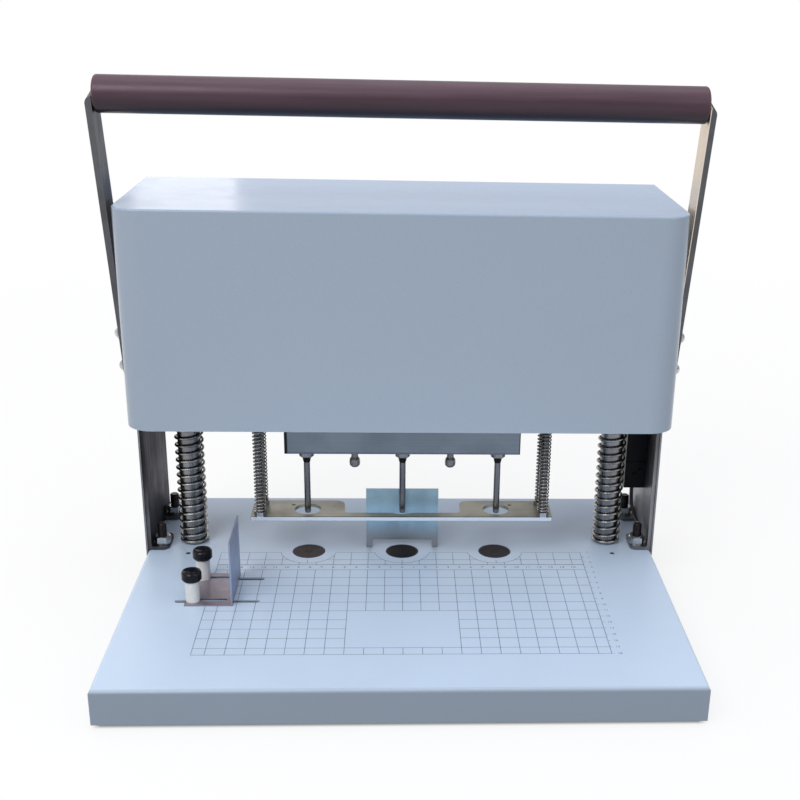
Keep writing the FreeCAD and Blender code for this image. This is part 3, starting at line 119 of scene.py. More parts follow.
def feed(tree, value, socket):
    # A socket is linked; a number, a vector or a colour is set
    if isinstance(value, bpy.types.NodeSocket):
        join(tree, value, socket)
    elif isinstance(value, tuple) and socket.type == "RGBA":
        socket.default_value = (*value, 1)
    else:
        socket.default_value = value


def sumOf(tree, operation, a, b=0.0):
    made = put(tree, "ShaderNodeMath", operation=operation)
    feed(tree, a, made.inputs[0])
    feed(tree, b, made.inputs[1])
    return made.outputs[0]


def vectorOf(tree, operation, a, b=(0, 0, 0)):
    made = put(tree, "ShaderNodeVectorMath", operation=operation)
    feed(tree, a, made.inputs[0])
    feed(tree, b, made.inputs[1])
    return made.outputs["Value" if operation in ("DOT_PRODUCT", "DISTANCE", "LENGTH") else "Vector"]


def scaled(tree, vector, share):
    made = put(tree, "ShaderNodeVectorMath", operation="SCALE")
    feed(tree, vector, made.inputs[0])
    feed(tree, share, made.inputs["Scale"])
    return made.outputs["Vector"]


def blendOf(tree, factor, a, b):
    made = put(tree, "ShaderNodeMix", data_type="RGBA", clamp_factor=True)
    feed(tree, factor, made.inputs[0])
    feed(tree, a, made.inputs[6])
    feed(tree, b, made.inputs[7])
    return made.outputs[2]


def spread(tree, value, low, high, toLow=0.0, toHigh=1.0):
    # What runs from low to high comes out from toLow to toHigh, and stays there beyond the ends
    made = put(tree, "ShaderNodeMapRange",
               {"From Min": low, "From Max": high, "To Min": toLow, "To Max": toHigh})
    join(tree, value, made.inputs["Value"])
    return made.outputs[0]


def noiseOf(tree, vector, scale, detail=3.0, rough=0.5):
    made = put(tree, "ShaderNodeTexNoise", {"Detail": detail, "Roughness": rough})
    feed(tree, vector, made.inputs["Vector"])
    feed(tree, scale, made.inputs["Scale"])
    return made.outputs[0]


def placeOf(tree):
    return put(tree, "ShaderNodeTexCoord").outputs["Object"]


def splitOf(tree, place):
    made = put(tree, "ShaderNodeSeparateXYZ")
    join(tree, place, made.inputs[0])
    return made.outputs


def bumpOf(tree, height, distance, strength):
    made = put(tree, "ShaderNodeBump", {"Distance": distance})
    feed(tree, strength, made.inputs["Strength"])
    join(tree, height, made.inputs["Height"])
    return made.outputs[0]


def newGroup(name, inputs, outputs):
    tree = bpy.data.node_groups.new(name, "ShaderNodeTree")
    kinds = {"C": "NodeSocketColor", "F": "NodeSocketFloat", "V": "NodeSocketVector"}
    for label, kind, value in inputs:
        socket = tree.interface.new_socket(label, in_out="INPUT", socket_type=kinds[kind])
        socket.default_value = value
    for label, kind in outputs:
        tree.interface.new_socket(label, in_out="OUTPUT", socket_type=kinds[kind])
    return tree, tree.nodes.new("NodeGroupInput"), tree.nodes.new("NodeGroupOutput")


# Shared effects

def makePaintSkin():
    # Sprayed enamel: faint cloudiness, orange peel, and gloss that varies a little
    look = {"cloudScale": 9, "speckScale": 900, "speckShare": 0.12, "speck": (0.2, 0.24, 0.3),
            "wipeScale": 38, "wipe": (-0.05, 0.07), "peelScale": 330, "peelDepth": 0.4 * mm}
    tree, given, out = newGroup(
        "paintSkin",
        [("Color", "C", (0.5, 0.5, 0.5, 1)), ("Cloud", "F", 0.06), ("Peel", "F", 0.15),
         ("Gloss", "F", 0.35)],
        [("Color", "C"), ("Roughness", "F"), ("Normal", "V")],
    )
    place = placeOf(tree)
    cloud = spread(tree, noiseOf(tree, place, look["cloudScale"], 4), 0.3, 0.7, -1, 1)
    shade = sumOf(tree, "ADD", sumOf(tree, "MULTIPLY", cloud, given.outputs["Cloud"]), 1.0)
    tinted = scaled(tree, given.outputs["Color"], shade)
    specks = spread(tree, noiseOf(tree, place, look["speckScale"], 1), 0.62, 0.72)
    specks = sumOf(tree, "MULTIPLY", specks, look["speckShare"])
    join(tree, blendOf(tree, specks, tinted, look["speck"]), out.inputs["Color"])
    wipe = spread(tree, noiseOf(tree, place, look["wipeScale"], 5, 0.6), 0.3, 0.7, *look["wipe"])
    join(tree, sumOf(tree, "ADD", given.outputs["Gloss"], wipe), out.inputs["Roughness"])
    peel = noiseOf(tree, place, look["peelScale"], 2)
    join(tree, bumpOf(tree, peel, look["peelDepth"], given.outputs["Peel"]), out.inputs["Normal"])
    return tree


def makeEdgeWear():
    # A mask of the outer edges, broken up by noise; the edges it lightens are partly wear and partly a
    # painted highlight
    look = {"samples": 6, "flat": 0.995, "full": 0.9, "broken": (0.42, 0.6)}
    tree, given, out = newGroup(
        "edgeWearAndHighlight", [("Width", "F", 0.0006), ("Amount", "F", 0.5), ("Breakup", "F", 90)], [("Mask", "F")]
    )
    rounded = put(tree, "ShaderNodeBevel", samples=look["samples"])
    join(tree, given.outputs["Width"], rounded.inputs["Radius"])
    flat = put(tree, "ShaderNodeNewGeometry").outputs["Normal"]
    edge = spread(tree, vectorOf(tree, "DOT_PRODUCT", rounded.outputs[0], flat), look["flat"], look["full"])
    noise = noiseOf(tree, placeOf(tree), given.outputs["Breakup"], 5)
    broken = sumOf(tree, "MULTIPLY", spread(tree, noise, *look["broken"]), given.outputs["Amount"])
    join(tree, sumOf(tree, "MULTIPLY", edge, broken), out.inputs["Mask"])
    return tree


def makeMetalGrain():
    # Rolled or brushed metal: fine lines along one way and blotches of a second tint
    look = {"blotchScale": 28, "blotch": (0.38, 0.66), "streak": (0.86, 1.14), "lineGloss": (-0.07, 0.07),
            "blotchGloss": 0.08, "depth": 0.2 * mm}
    tree, given, out = newGroup(
        "metalGrain",
        [("Color", "C", (0.5, 0.5, 0.5, 1)), ("Tint", "C", (0.4, 0.4, 0.5, 1)),
         ("Lines", "V", (900, 900, 12)), ("Blotch", "F", 0.5), ("Gloss", "F", 0.35), ("Depth", "F", 0.1)],
        [("Color", "C"), ("Roughness", "F"), ("Normal", "V")],
    )
    place = placeOf(tree)
    lines = noiseOf(tree, vectorOf(tree, "MULTIPLY", place, given.outputs["Lines"]), 1, 3, 0.6)
    blotch = spread(tree, noiseOf(tree, place, look["blotchScale"], 4, 0.55), *look["blotch"])
    mixed = blendOf(tree, sumOf(tree, "MULTIPLY", blotch, given.outputs["Blotch"]),
                    given.outputs["Color"], given.outputs["Tint"])
    streaks = spread(tree, lines, 0.25, 0.75, *look["streak"])
    join(tree, scaled(tree, mixed, streaks), out.inputs["Color"])
    rough = sumOf(tree, "ADD", given.outputs["Gloss"], spread(tree, lines, 0.3, 0.7, *look["lineGloss"]))
    dull = sumOf(tree, "MULTIPLY", blotch, look["blotchGloss"])
    join(tree, sumOf(tree, "ADD", rough, dull), out.inputs["Roughness"])
    join(tree, bumpOf(tree, lines, look["depth"], given.outputs["Depth"]), out.inputs["Normal"])
    return tree


def makeScrewThread():
    # Thread along z, as bump and a darker root
    look = {"depth": 0.5 * mm, "rootEnds": (0.3, 0.05)}
    tree, given, out = newGroup(
        "screwThread", [("Pitch", "F", 0.00125), ("Depth", "F", 0.6)], [("Root", "F"), ("Normal", "V")]
    )
    turns = sumOf(tree, "DIVIDE", splitOf(tree, placeOf(tree))["Z"], given.outputs["Pitch"])
    wave = sumOf(tree, "PINGPONG", turns, 0.5)
    join(tree, spread(tree, wave, *look["rootEnds"]), out.inputs["Root"])
    join(tree, bumpOf(tree, wave, look["depth"], given.outputs["Depth"]), out.inputs["Normal"])
    return tree


paintSkin = makePaintSkin()
edgeWearAndHighlight = makeEdgeWear()
metalGrain = makeMetalGrain()
screwThread = makeScrewThread()


def newMaterial(name, **sockets):
    material = bpy.data.materials.new(name)
    material.use_nodes = True
    tree = material.node_tree
    shader = tree.nodes["Principled BSDF"]
    for label, value in sockets.items():
        shader.inputs[label.replace("_", " ")].default_value = value
    return material, tree, shader


def useGroup(tree, group, values=None):
    made = tree.nodes.new("ShaderNodeGroup")
    made.node_tree = group
    for label, value in (values or {}).items():
        made.inputs[label].default_value = value
    return made


def skin(tree, shader, effect):
    # Colour, roughness and normal of a group go to the shader
    join(tree, effect.outputs["Roughness"], shader.inputs["Roughness"])
    join(tree, effect.outputs["Normal"], shader.inputs["Normal"])
    return effect.outputs["Color"]


def paint(name, look):
    material, tree, shader = newMaterial(name, Specular_IOR_Level=look.get("shine", 0.5))
    effect = useGroup(tree, paintSkin, {"Color": (*look["color"], 1), "Cloud": look["cloud"],
                                        "Peel": look["peel"], "Gloss": look["gloss"]})
    color = skin(tree, shader, effect)
    # The edge colour lightens the edges: partly wear, partly a painted highlight
    wearAndHighlight = useGroup(tree, edgeWearAndHighlight, {"Width": look["wearAndHighlightWidth"], "Amount": look["wearAndHighlight"]})
    join(tree, blendOf(tree, wearAndHighlight.outputs["Mask"], color, look["under"]), shader.inputs["Base Color"])
    return material


def metal(name, look):
    material, tree, shader = newMaterial(name, Metallic=look.get("metallic", 1.0),
                                         Specular_Tint=(*look.get("edge", (1, 1, 1)), 1))
    effect = useGroup(tree, metalGrain, {"Color": (*look["color"], 1), "Tint": (*look["tint"], 1),
                                         "Lines": look["lines"], "Blotch": look["blotch"],
                                         "Gloss": look["gloss"], "Depth": look["depth"]})
    color = skin(tree, shader, effect)
    # The edge colour lightens the edges: partly wear, partly a painted highlight
    wearAndHighlight = useGroup(tree, edgeWearAndHighlight, {"Width": 0.5 * mm, "Amount": look.get("wearAndHighlight", 0.4)})
    join(tree, blendOf(tree, wearAndHighlight.outputs["Mask"], color, look.get("bright", (0.8, 0.82, 0.85))),
         shader.inputs["Base Color"])
    return material


def threaded(name, look):
    material, tree, shader = newMaterial(name, Metallic=look["metallic"], Roughness=look["gloss"])
    thread = useGroup(tree, screwThread, {"Pitch": look["pitch"], "Depth": look["depth"]})
    mottle = spread(tree, noiseOf(tree, placeOf(tree), 220, 4), 0.35, 0.7)
    color = blendOf(tree, mottle, look["color"], look["tint"])
    root = sumOf(tree, "MULTIPLY", thread.outputs["Root"], 0.6)
    join(tree, blendOf(tree, root, color, look["root"]), shader.inputs["Base Color"])
    join(tree, thread.outputs["Normal"], shader.inputs["Normal"])
    return material


def moulded(name, look):
    # Plastic or rubber: soft mottle and a fine grain
    material, tree, shader = newMaterial(name, Specular_IOR_Level=look.get("shine", 0.5),
                                         Subsurface_Weight=look.get("soft", 0.0), Subsurface_Scale=4 * mm)
    place = placeOf(tree)
    mottle = spread(tree, noiseOf(tree, place, look["mottleScale"], 4), 0.35, 0.68)
    color = blendOf(tree, mottle, look["color"], look["tint"])
    # The edge colour lightens the edges: partly wear, partly a painted highlight
    wearAndHighlight = useGroup(tree, edgeWearAndHighlight, {"Width": 0.5 * mm, "Amount": 0.3})
    join(tree, blendOf(tree, wearAndHighlight.outputs["Mask"], color, look["worn"]), shader.inputs["Base Color"])
    gloss = (look["gloss"] - 0.06, look["gloss"] + 0.08)
    join(tree, spread(tree, noiseOf(tree, place, 60, 4), 0.3, 0.7, *gloss), shader.inputs["Roughness"])
    grain = noiseOf(tree, place, look["grainScale"], 2)
    join(tree, bumpOf(tree, grain, 0.2 * mm, look["grain"]), shader.inputs["Normal"])
    return material


print("shared effects ready")


# Finishes. Colours are linear.

tablePaint = paint("tablePaint", {"color": (0.52, 0.635, 0.79), "under": (0.55, 0.60, 0.66), "cloud": 0.025,
                                  "peel": 0.10, "gloss": 0.36, "wearAndHighlight": 0.35, "wearAndHighlightWidth": 0.7 * mm})
coverPaint = paint("coverPaint", {"color": (0.455, 0.54, 0.65), "under": (0.62, 0.68, 0.74), "cloud": 0.006,
                                  "peel": 0.015, "gloss": 0.16, "wearAndHighlight": 0.25, "wearAndHighlightWidth": 0.8 * mm,
                                  "shine": 0.25})
motorPaint = paint("motorPaint", {"color": (0.10, 0.12, 0.14), "under": (0.4, 0.42, 0.45), "cloud": 0.08,
                                  "peel": 0.25, "gloss": 0.42, "wearAndHighlight": 0.6, "wearAndHighlightWidth": 0.8 * mm})

bracketZinc = metal("bracketZinc", {"color": (0.25, 0.25, 0.265), "tint": (0.16, 0.16, 0.18),
                                    "lines": (260, 160, 5), "blotch": 0.6, "gloss": 0.40, "depth": 0.12,
                                    "bright": (0.62, 0.66, 0.72)})
# The left bracket: the same zinc made darker, a painted shade
bracketZincPaintedShade = metal("bracketZincPaintedShade", {"color": (0.115, 0.118, 0.13), "tint": (0.055, 0.052, 0.055),
                                    "lines": (260, 160, 5), "blotch": 0.8, "gloss": 0.42, "depth": 0.12,
                                    "bright": (0.40, 0.43, 0.47), "edge": (0.55, 0.54, 0.56)})
nutZinc = metal("nutZinc", {"color": (0.62, 0.63, 0.64), "tint": (0.36, 0.35, 0.33),
                            "lines": (300, 300, 90), "blotch": 0.6, "gloss": 0.22, "depth": 0.06,
                            "bright": (0.9, 0.92, 0.95)})
panelSteel = metal("panelSteel", {"color": (0.22, 0.23, 0.25), "tint": (0.13, 0.14, 0.16),
                                  "lines": (200, 140, 4), "blotch": 0.5, "gloss": 0.36, "depth": 0.1,
                                  "bright": (0.5, 0.52, 0.56)})
gaugeZinc = metal("gaugeZinc", {"color": (0.42, 0.60, 0.70), "tint": (0.28, 0.41, 0.51), "metallic": 0.75,
                                "lines": (90, 90, 6), "blotch": 0.7, "gloss": 0.38, "depth": 0.1,
                                "bright": (0.62, 0.74, 0.8)})
guideZinc = metal("guideZinc", {"color": (0.40, 0.46, 0.62), "tint": (0.33, 0.35, 0.47), "metallic": 0.85,
                                "lines": (220, 220, 4), "blotch": 0.8, "gloss": 0.40, "depth": 0.1,
                                "bright": (0.7, 0.74, 0.8)})
headSteel = metal("headSteel", {"color": (0.30, 0.31, 0.33), "tint": (0.22, 0.22, 0.24),
                                "lines": (6, 260, 260), "blotch": 0.4, "gloss": 0.36, "depth": 0.1})
columnChrome = metal("columnChrome", {"color": (0.23, 0.235, 0.25), "tint": (0.14, 0.14, 0.15),
                                      "lines": (500, 500, 30), "blotch": 0.4, "gloss": 0.24, "depth": 0.06,
                                      "wearAndHighlight": 0.1})
springSteel = metal("springSteel", {"color": (0.42, 0.41, 0.39), "tint": (0.17, 0.155, 0.14),
                                    "lines": (300, 300, 300), "blotch": 0.7, "gloss": 0.22, "depth": 0.05,
                                    "wearAndHighlight": 0.0})
toolSteel = metal("toolSteel", {"color": (0.26, 0.26, 0.275), "tint": (0.16, 0.155, 0.16),
                                "lines": (900, 900, 25), "blotch": 0.5, "gloss": 0.22, "depth": 0.06,
                                "bright": (0.6, 0.6, 0.62)})
armLook = {"color": (0.12, 0.125, 0.135), "tint": (0.07, 0.07, 0.078), "lines": (240, 240, 6),
           "blotch": 0.6, "gloss": 0.38, "depth": 0.14, "bright": (0.22, 0.23, 0.25),
           "edge": (0.7, 0.7, 0.72)}
armSteel = metal("armSteel", armLook)
# A copy of the arm steel for the right arm, with painted light on its inner face
armPaintedLight = metal("armPaintedLight", armLook)
bronze = metal("bronze", {"color": (0.52, 0.33, 0.15), "tint": (0.38, 0.22, 0.10), "lines": (300, 300, 30),
                          "blotch": 0.7, "gloss": 0.34, "depth": 0.08, "bright": (0.8, 0.6, 0.35)})

studBlack = threaded("studBlack", {"color": (0.016, 0.014, 0.016), "tint": (0.05, 0.035, 0.035),
                                   "root": (0.006, 0.005, 0.006), "metallic": 0.7, "gloss": 0.34,
                                   "pitch": 1.25 * mm, "depth": 0.7})
rodSteel = threaded("rodSteel", {"color": (0.24, 0.25, 0.27), "tint": (0.14, 0.14, 0.15),
                                 "root": (0.06, 0.06, 0.07), "metallic": 1.0, "gloss": 0.3,
                                 "pitch": 1 * mm, "depth": 0.5})

boxPlastic = moulded("boxPlastic", {"color": (0.004, 0.004, 0.006), "tint": (0.008, 0.008, 0.011),
                                    "worn": (0.03, 0.03, 0.034), "gloss": 0.4, "grain": 0.35,
                                    "grainScale": 1400, "mottleScale": 60, "shine": 0.1})
nylon = moulded("nylon", {"color": (0.82, 0.83, 0.80), "tint": (0.72, 0.73, 0.70),
                          "worn": (0.86, 0.87, 0.85), "gloss": 0.34, "grain": 0.1, "grainScale": 500,
                          "mottleScale": 130, "soft": 0.15})
footRubber = moulded("footRubber", {"color": (0.016, 0.016, 0.016), "tint": (0.028, 0.027, 0.026),
                                    "worn": (0.07, 0.07, 0.07), "gloss": 0.7, "grain": 0.4,
                                    "grainScale": 900, "mottleScale": 80})
print("finishes ready")


def makePadMaterial():
    # Pads are plastic with the ring that the drill cuts; each pad has a tone of its own
    look = {"ring": 2.75 * mm, "ringWidth": 0.5 * mm, "rim": 12.8 * mm, "rimWidth": 0.8 * mm,
            "depth": 0.3 * mm, "left": (0.066, 0.054, 0.057), "centre": (0.008, 0.008, 0.011),
            "right": (0.036, 0.031, 0.037), "mottle": (0.03, 0.024, 0.025), "cut": (0.006, 0.005, 0.005),
            "edge": (0.10, 0.11, 0.13), "toCentre": (-60 * mm, 0), "toRight": (30 * mm, 60 * mm),
            "mottleShare": 0.3, "rimShare": 0.5}
    material, tree, shader = newMaterial("padPlastic", Specular_IOR_Level=0.06)
    place = placeOf(tree)
    split = splitOf(tree, place)
    wrapped = put(tree, "ShaderNodeMath", {1: holePitch / 2, 2: -holePitch / 2}, operation="WRAP")
    join(tree, split["X"], wrapped.inputs[0])
    across = sumOf(tree, "SUBTRACT", split["Y"], drillLine)
    squares = [sumOf(tree, "POWER", side, 2.0) for side in (wrapped.outputs[0], across)]
    away = sumOf(tree, "SQRT", sumOf(tree, "ADD", *squares))
    offRing = sumOf(tree, "ABSOLUTE", sumOf(tree, "SUBTRACT", away, look["ring"]))
    cut = spread(tree, offRing, look["ringWidth"], 0.0)
    base = blendOf(tree, spread(tree, split["X"], *look["toCentre"]), look["left"], look["centre"])
    base = blendOf(tree, spread(tree, split["X"], *look["toRight"]), base, look["right"])
    mottle = spread(tree, noiseOf(tree, place, 160, 5, 0.6), 0.35, 0.7)
    base = blendOf(tree, sumOf(tree, "MULTIPLY", mottle, look["mottleShare"]), base, look["mottle"])
    base = blendOf(tree, cut, base, look["cut"])
    rim = spread(tree, away, look["rim"], look["rim"] + look["rimWidth"])
    rim = sumOf(tree, "MULTIPLY", rim, look["rimShare"])
    join(tree, blendOf(tree, rim, base, look["edge"]), shader.inputs["Base Color"])
    join(tree, spread(tree, mottle, 0, 1, 0.5, 0.65), shader.inputs["Roughness"])
    height = sumOf(tree, "SUBTRACT", noiseOf(tree, place, 700, 3), sumOf(tree, "MULTIPLY", cut, 2.0))
    join(tree, bumpOf(tree, height, look["depth"], 0.4), shader.inputs["Normal"])
    return material


def makeGripMaterial():
    # Dark red lacquer over a tube, rubbed to bare brown at the rim of each end
    look = {"color": (0.094, 0.052, 0.068), "dark": (0.062, 0.032, 0.043), "rim": (0.30, 0.14, 0.06),
            "end": 230.6 * mm, "fade": 0.6 * mm, "streaks": (9, 170, 170), "depth": 0.3 * mm}
    material, tree, shader = newMaterial("gripLacquer", Specular_IOR_Level=0.5,
                                         Specular_Tint=(1.0, 0.82, 0.97, 1))
    place = placeOf(tree)
    streaks = noiseOf(tree, vectorOf(tree, "MULTIPLY", place, look["streaks"]), 1, 4, 0.55)
    base = blendOf(tree, spread(tree, streaks, 0.3, 0.72), look["color"], look["dark"])
    reach = sumOf(tree, "ABSOLUTE", splitOf(tree, place)["X"])
    bare = spread(tree, reach, look["end"], look["end"] + look["fade"])
    join(tree, blendOf(tree, bare, base, look["rim"]), shader.inputs["Base Color"])
    join(tree, spread(tree, noiseOf(tree, place, 45, 4), 0.3, 0.7, 0.3, 0.4), shader.inputs["Roughness"])
    join(tree, bumpOf(tree, noiseOf(tree, place, 420, 3), look["depth"], 0.14), shader.inputs["Normal"])
    return material


def makeKnobMaterial():
    # Polished black knobs, turned: fine rings about each knob's own axis
    look = {"color": (0.004, 0.004, 0.007), "tint": (0.010, 0.010, 0.014), "ring": (0.02, 0.02, 0.024),
            "ringsPerMetre": 1100.0, "ringShare": 0.25, "gloss": (0.16, 0.3), "depth": 0.2 * mm}
    material, tree, shader = newMaterial("knobBlack", Specular_IOR_Level=0.22)
    place = placeOf(tree)
    flat = vectorOf(tree, "MULTIPLY", place, (1, 1, 0))
    nearest = None
    for name in ("guide_knob_front", "guide_knob_rear", "gauge_knob"):
        centre = sum(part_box(name), Vector()) / 2
        gap = vectorOf(tree, "DISTANCE", flat, (centre.x, centre.y, 0))
        nearest = gap if nearest is None else sumOf(tree, "MINIMUM", nearest, gap)
    rings = sumOf(tree, "PINGPONG", sumOf(tree, "MULTIPLY", nearest, look["ringsPerMetre"]), 0.5)
    mottle = spread(tree, noiseOf(tree, place, 300, 4), 0.4, 0.75)
    base = blendOf(tree, mottle, look["color"], look["tint"])
    ringed = blendOf(tree, sumOf(tree, "MULTIPLY", rings, look["ringShare"]), base, look["ring"])
    join(tree, ringed, shader.inputs["Base Color"])
    join(tree, spread(tree, mottle, 0, 1, *look["gloss"]), shader.inputs["Roughness"])
    join(tree, bumpOf(tree, rings, look["depth"], 0.25), shader.inputs["Normal"])
    return material


def makeKnurlMaterial():
    # Round-headed steel screws with a crossed knurl
    look = {"color": (0.22, 0.21, 0.21), "tint": (0.12, 0.11, 0.11), "crest": (0.45, 0.44, 0.43),
            "slopes": ((700, 500, 700), (-700, -500, 700)), "gloss": (0.42, 0.24), "depth": 0.5 * mm}
    material, tree, shader = newMaterial("knurledSteel", Metallic=1.0)
    place = placeOf(tree)
    slopes = [vectorOf(tree, "DOT_PRODUCT", place, slope) for slope in look["slopes"]]
    waves = [sumOf(tree, "PINGPONG", slope, 0.5) for slope in slopes]
    cross = sumOf(tree, "MULTIPLY", sumOf(tree, "MAXIMUM", *waves), 2.0)
    mottle = spread(tree, noiseOf(tree, place, 250, 4), 0.35, 0.7)
    base = blendOf(tree, mottle, look["color"], look["tint"])
    crested = blendOf(tree, spread(tree, cross, 0.7, 1.0), base, look["crest"])
    join(tree, crested, shader.inputs["Base Color"])
    join(tree, spread(tree, cross, 0, 1, *look["gloss"]), shader.inputs["Roughness"])
    join(tree, bumpOf(tree, cross, look["depth"], 0.35), shader.inputs["Normal"])
    return material


def makeBeltMaterial():
    # Toothed rubber belt: dull black with a faint rib
    look = {"color": (0.014, 0.014, 0.015), "tint": (0.03, 0.029, 0.028), "ribsPerMetre": 320.0,
            "gloss": (0.55, 0.75), "depth": 0.8 * mm}
    material, tree, shader = newMaterial("beltRubber")
    place = placeOf(tree)
    along = sumOf(tree, "MULTIPLY", splitOf(tree, place)["X"], look["ribsPerMetre"])
    ribs = sumOf(tree, "PINGPONG", along, 0.5)
    mottle = spread(tree, noiseOf(tree, place, 140, 4), 0.35, 0.7)
    join(tree, blendOf(tree, mottle, look["color"], look["tint"]), shader.inputs["Base Color"])
    join(tree, spread(tree, mottle, 0, 1, *look["gloss"]), shader.inputs["Roughness"])
    join(tree, bumpOf(tree, ribs, look["depth"], 0.6), shader.inputs["Normal"])
    return material


def addZone(material, axis, edge, ends, color, share):
    # Along an axis of the object, from ends[0] to ends[1] millimetres past an edge, a tone comes in
    tree = material.node_tree
    socket = tree.nodes["Principled BSDF"].inputs["Base Color"]
    start, full = (edge + end * mm for end in ends)
    mask = sumOf(tree, "MULTIPLY", spread(tree, splitOf(tree, placeOf(tree))[axis], start, full), share)
    join(tree, blendOf(tree, mask, socket.links[0].from_socket, color), socket)


boxSteel = metal("boxSteel", {"color": (0.19, 0.225, 0.27), "tint": (0.145, 0.17, 0.205),
                              "lines": (5, 420, 420), "blotch": 0.4, "gloss": 0.38, "depth": 0.10,
                              "bright": (0.42, 0.47, 0.54)})
pressZinc = metal("pressZinc", {"color": (0.45, 0.44, 0.37), "tint": (0.30, 0.29, 0.24), "metallic": 0.8,
                                "lines": (6, 300, 300), "blotch": 0.8, "gloss": 0.42, "depth": 0.08,
                                "bright": (0.5, 0.53, 0.55)})
bitSteel = metal("bitSteel", {"color": (0.21, 0.208, 0.215), "tint": (0.12, 0.117, 0.12),
                              "lines": (900, 900, 25), "blotch": 0.5, "gloss": 0.2, "depth": 0.06,
                              "bright": (0.6, 0.6, 0.62)})
scaleInk = moulded("scaleInk", {"color": (0.075, 0.105, 0.175), "tint": (0.12, 0.16, 0.24),
                                "worn": (0.2, 0.25, 0.33), "gloss": 0.45, "grain": 0.05, "grainScale": 700,
                                "mottleScale": 90})
leadBlack = moulded("leadBlack", {"color": (0.012, 0.012, 0.014), "tint": (0.02, 0.02, 0.022),
                                  "worn": (0.05, 0.05, 0.05), "gloss": 0.4, "grain": 0.1, "grainScale": 600,
                                  "mottleScale": 120})
leadSleeveYellow = moulded("leadSleeveYellow", {"color": (0.45, 0.42, 0.12), "tint": (0.22, 0.34, 0.12),
                                                "worn": (0.5, 0.48, 0.25), "gloss": 0.4, "grain": 0.1,
                                                "grainScale": 600, "mottleScale": 300})
padPlastic = makePadMaterial()
gripLacquer = makeGripMaterial()
knobBlack = makeKnobMaterial()
knurledSteel = makeKnurlMaterial()
beltRubber = makeBeltMaterial()

boxLow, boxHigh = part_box("drill_box")
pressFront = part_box("presser_plate")[0].y
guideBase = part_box("side_guide")[0].z
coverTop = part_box("head_cover")[1].z
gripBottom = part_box("handle_grip")[0].z
armThickness = 5 * mm
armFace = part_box("lever_arm_right")[1].x - armThickness
collar = {"bottom": (85.5, 86), "top": (90.5, 91), "tone": (0.012, 0.011, 0.012),
          "shank": (0.26, 0.26, 0.275)}
zones = [
    (boxSteel, "Z", boxLow.z, (1.8, 0.8), (0.34, 0.38, 0.44), 0.9),             # painted highlight on the bottom lip
    (boxSteel, "X", boxLow.x, (3.0, 2.2), (0.012, 0.013, 0.016), 0.95),         # painted shade on the left end
    (boxSteel, "X", boxHigh.x, (-1.2, -0.6), (0.02, 0.022, 0.026), 0.8),        # painted shade on the right end
    (pressZinc, "Y", pressFront, (2.6, 1.8), (0.05, 0.05, 0.045), 0.9),         # dark line behind it
    (pressZinc, "Y", pressFront, (1.0, 0.4), (0.86, 0.92, 1.0), 1.0),           # painted shadow behind the presser's front face
    (bitSteel, "Z", tableTop, collar["bottom"], collar["tone"], 0.95),
    (bitSteel, "Z", tableTop, collar["top"], collar["shank"], 0.9),
    (toolSteel, "Z", tableTop, collar["bottom"], collar["tone"], 0.95),
    (toolSteel, "Z", tableTop, collar["top"], collar["shank"], 0.9),
    (bracketZincPaintedShade, "Z", tableTop, (45, 85), (0.030, 0.029, 0.032), 0.9),         # painted shade, darker towards the cover
    # painted shade, darker towards the cover
    (bracketZinc, "Z", tableTop, (60, 100), (0.10, 0.095, 0.10), 0.7),
    (guideZinc, "Z", guideBase, (6, 2), (0.38, 0.31, 0.33), 0.8),               # the guide's flat foot
    (gaugeZinc, "Z", tableTop, (24, 10), (0.36, 0.34, 0.34), 0.85),             # painted shade on the gauge's lower end
    (coverPaint, "Z", coverTop, (-1.2, -0.4), (0.375, 0.49, 0.665), 0.95),      # painted shade: the cover's top darker and bluer
    (armPaintedLight, "X", armFace, (0.8, 0.2), (0.92, 0.80, 0.66), 0.95),              # painted light on the arm's inner face
    (tablePaint, "Y", cadFront, (4, 0.6), (0.30, 0.355, 0.43), 0.7),            # painted shade on the table's front skirt
    (gripLacquer, "Z", gripBottom, (16.5, 4), (0.004, 0.002, 0.003), 0.98),     # painted shade on the grip's underside
    (scaleInk, "Y", drillLine, (-12, -5), (0.26, 0.33, 0.43), 0.75),            # fainter print by the pads
]
for zone in zones:
    addZone(*zone)

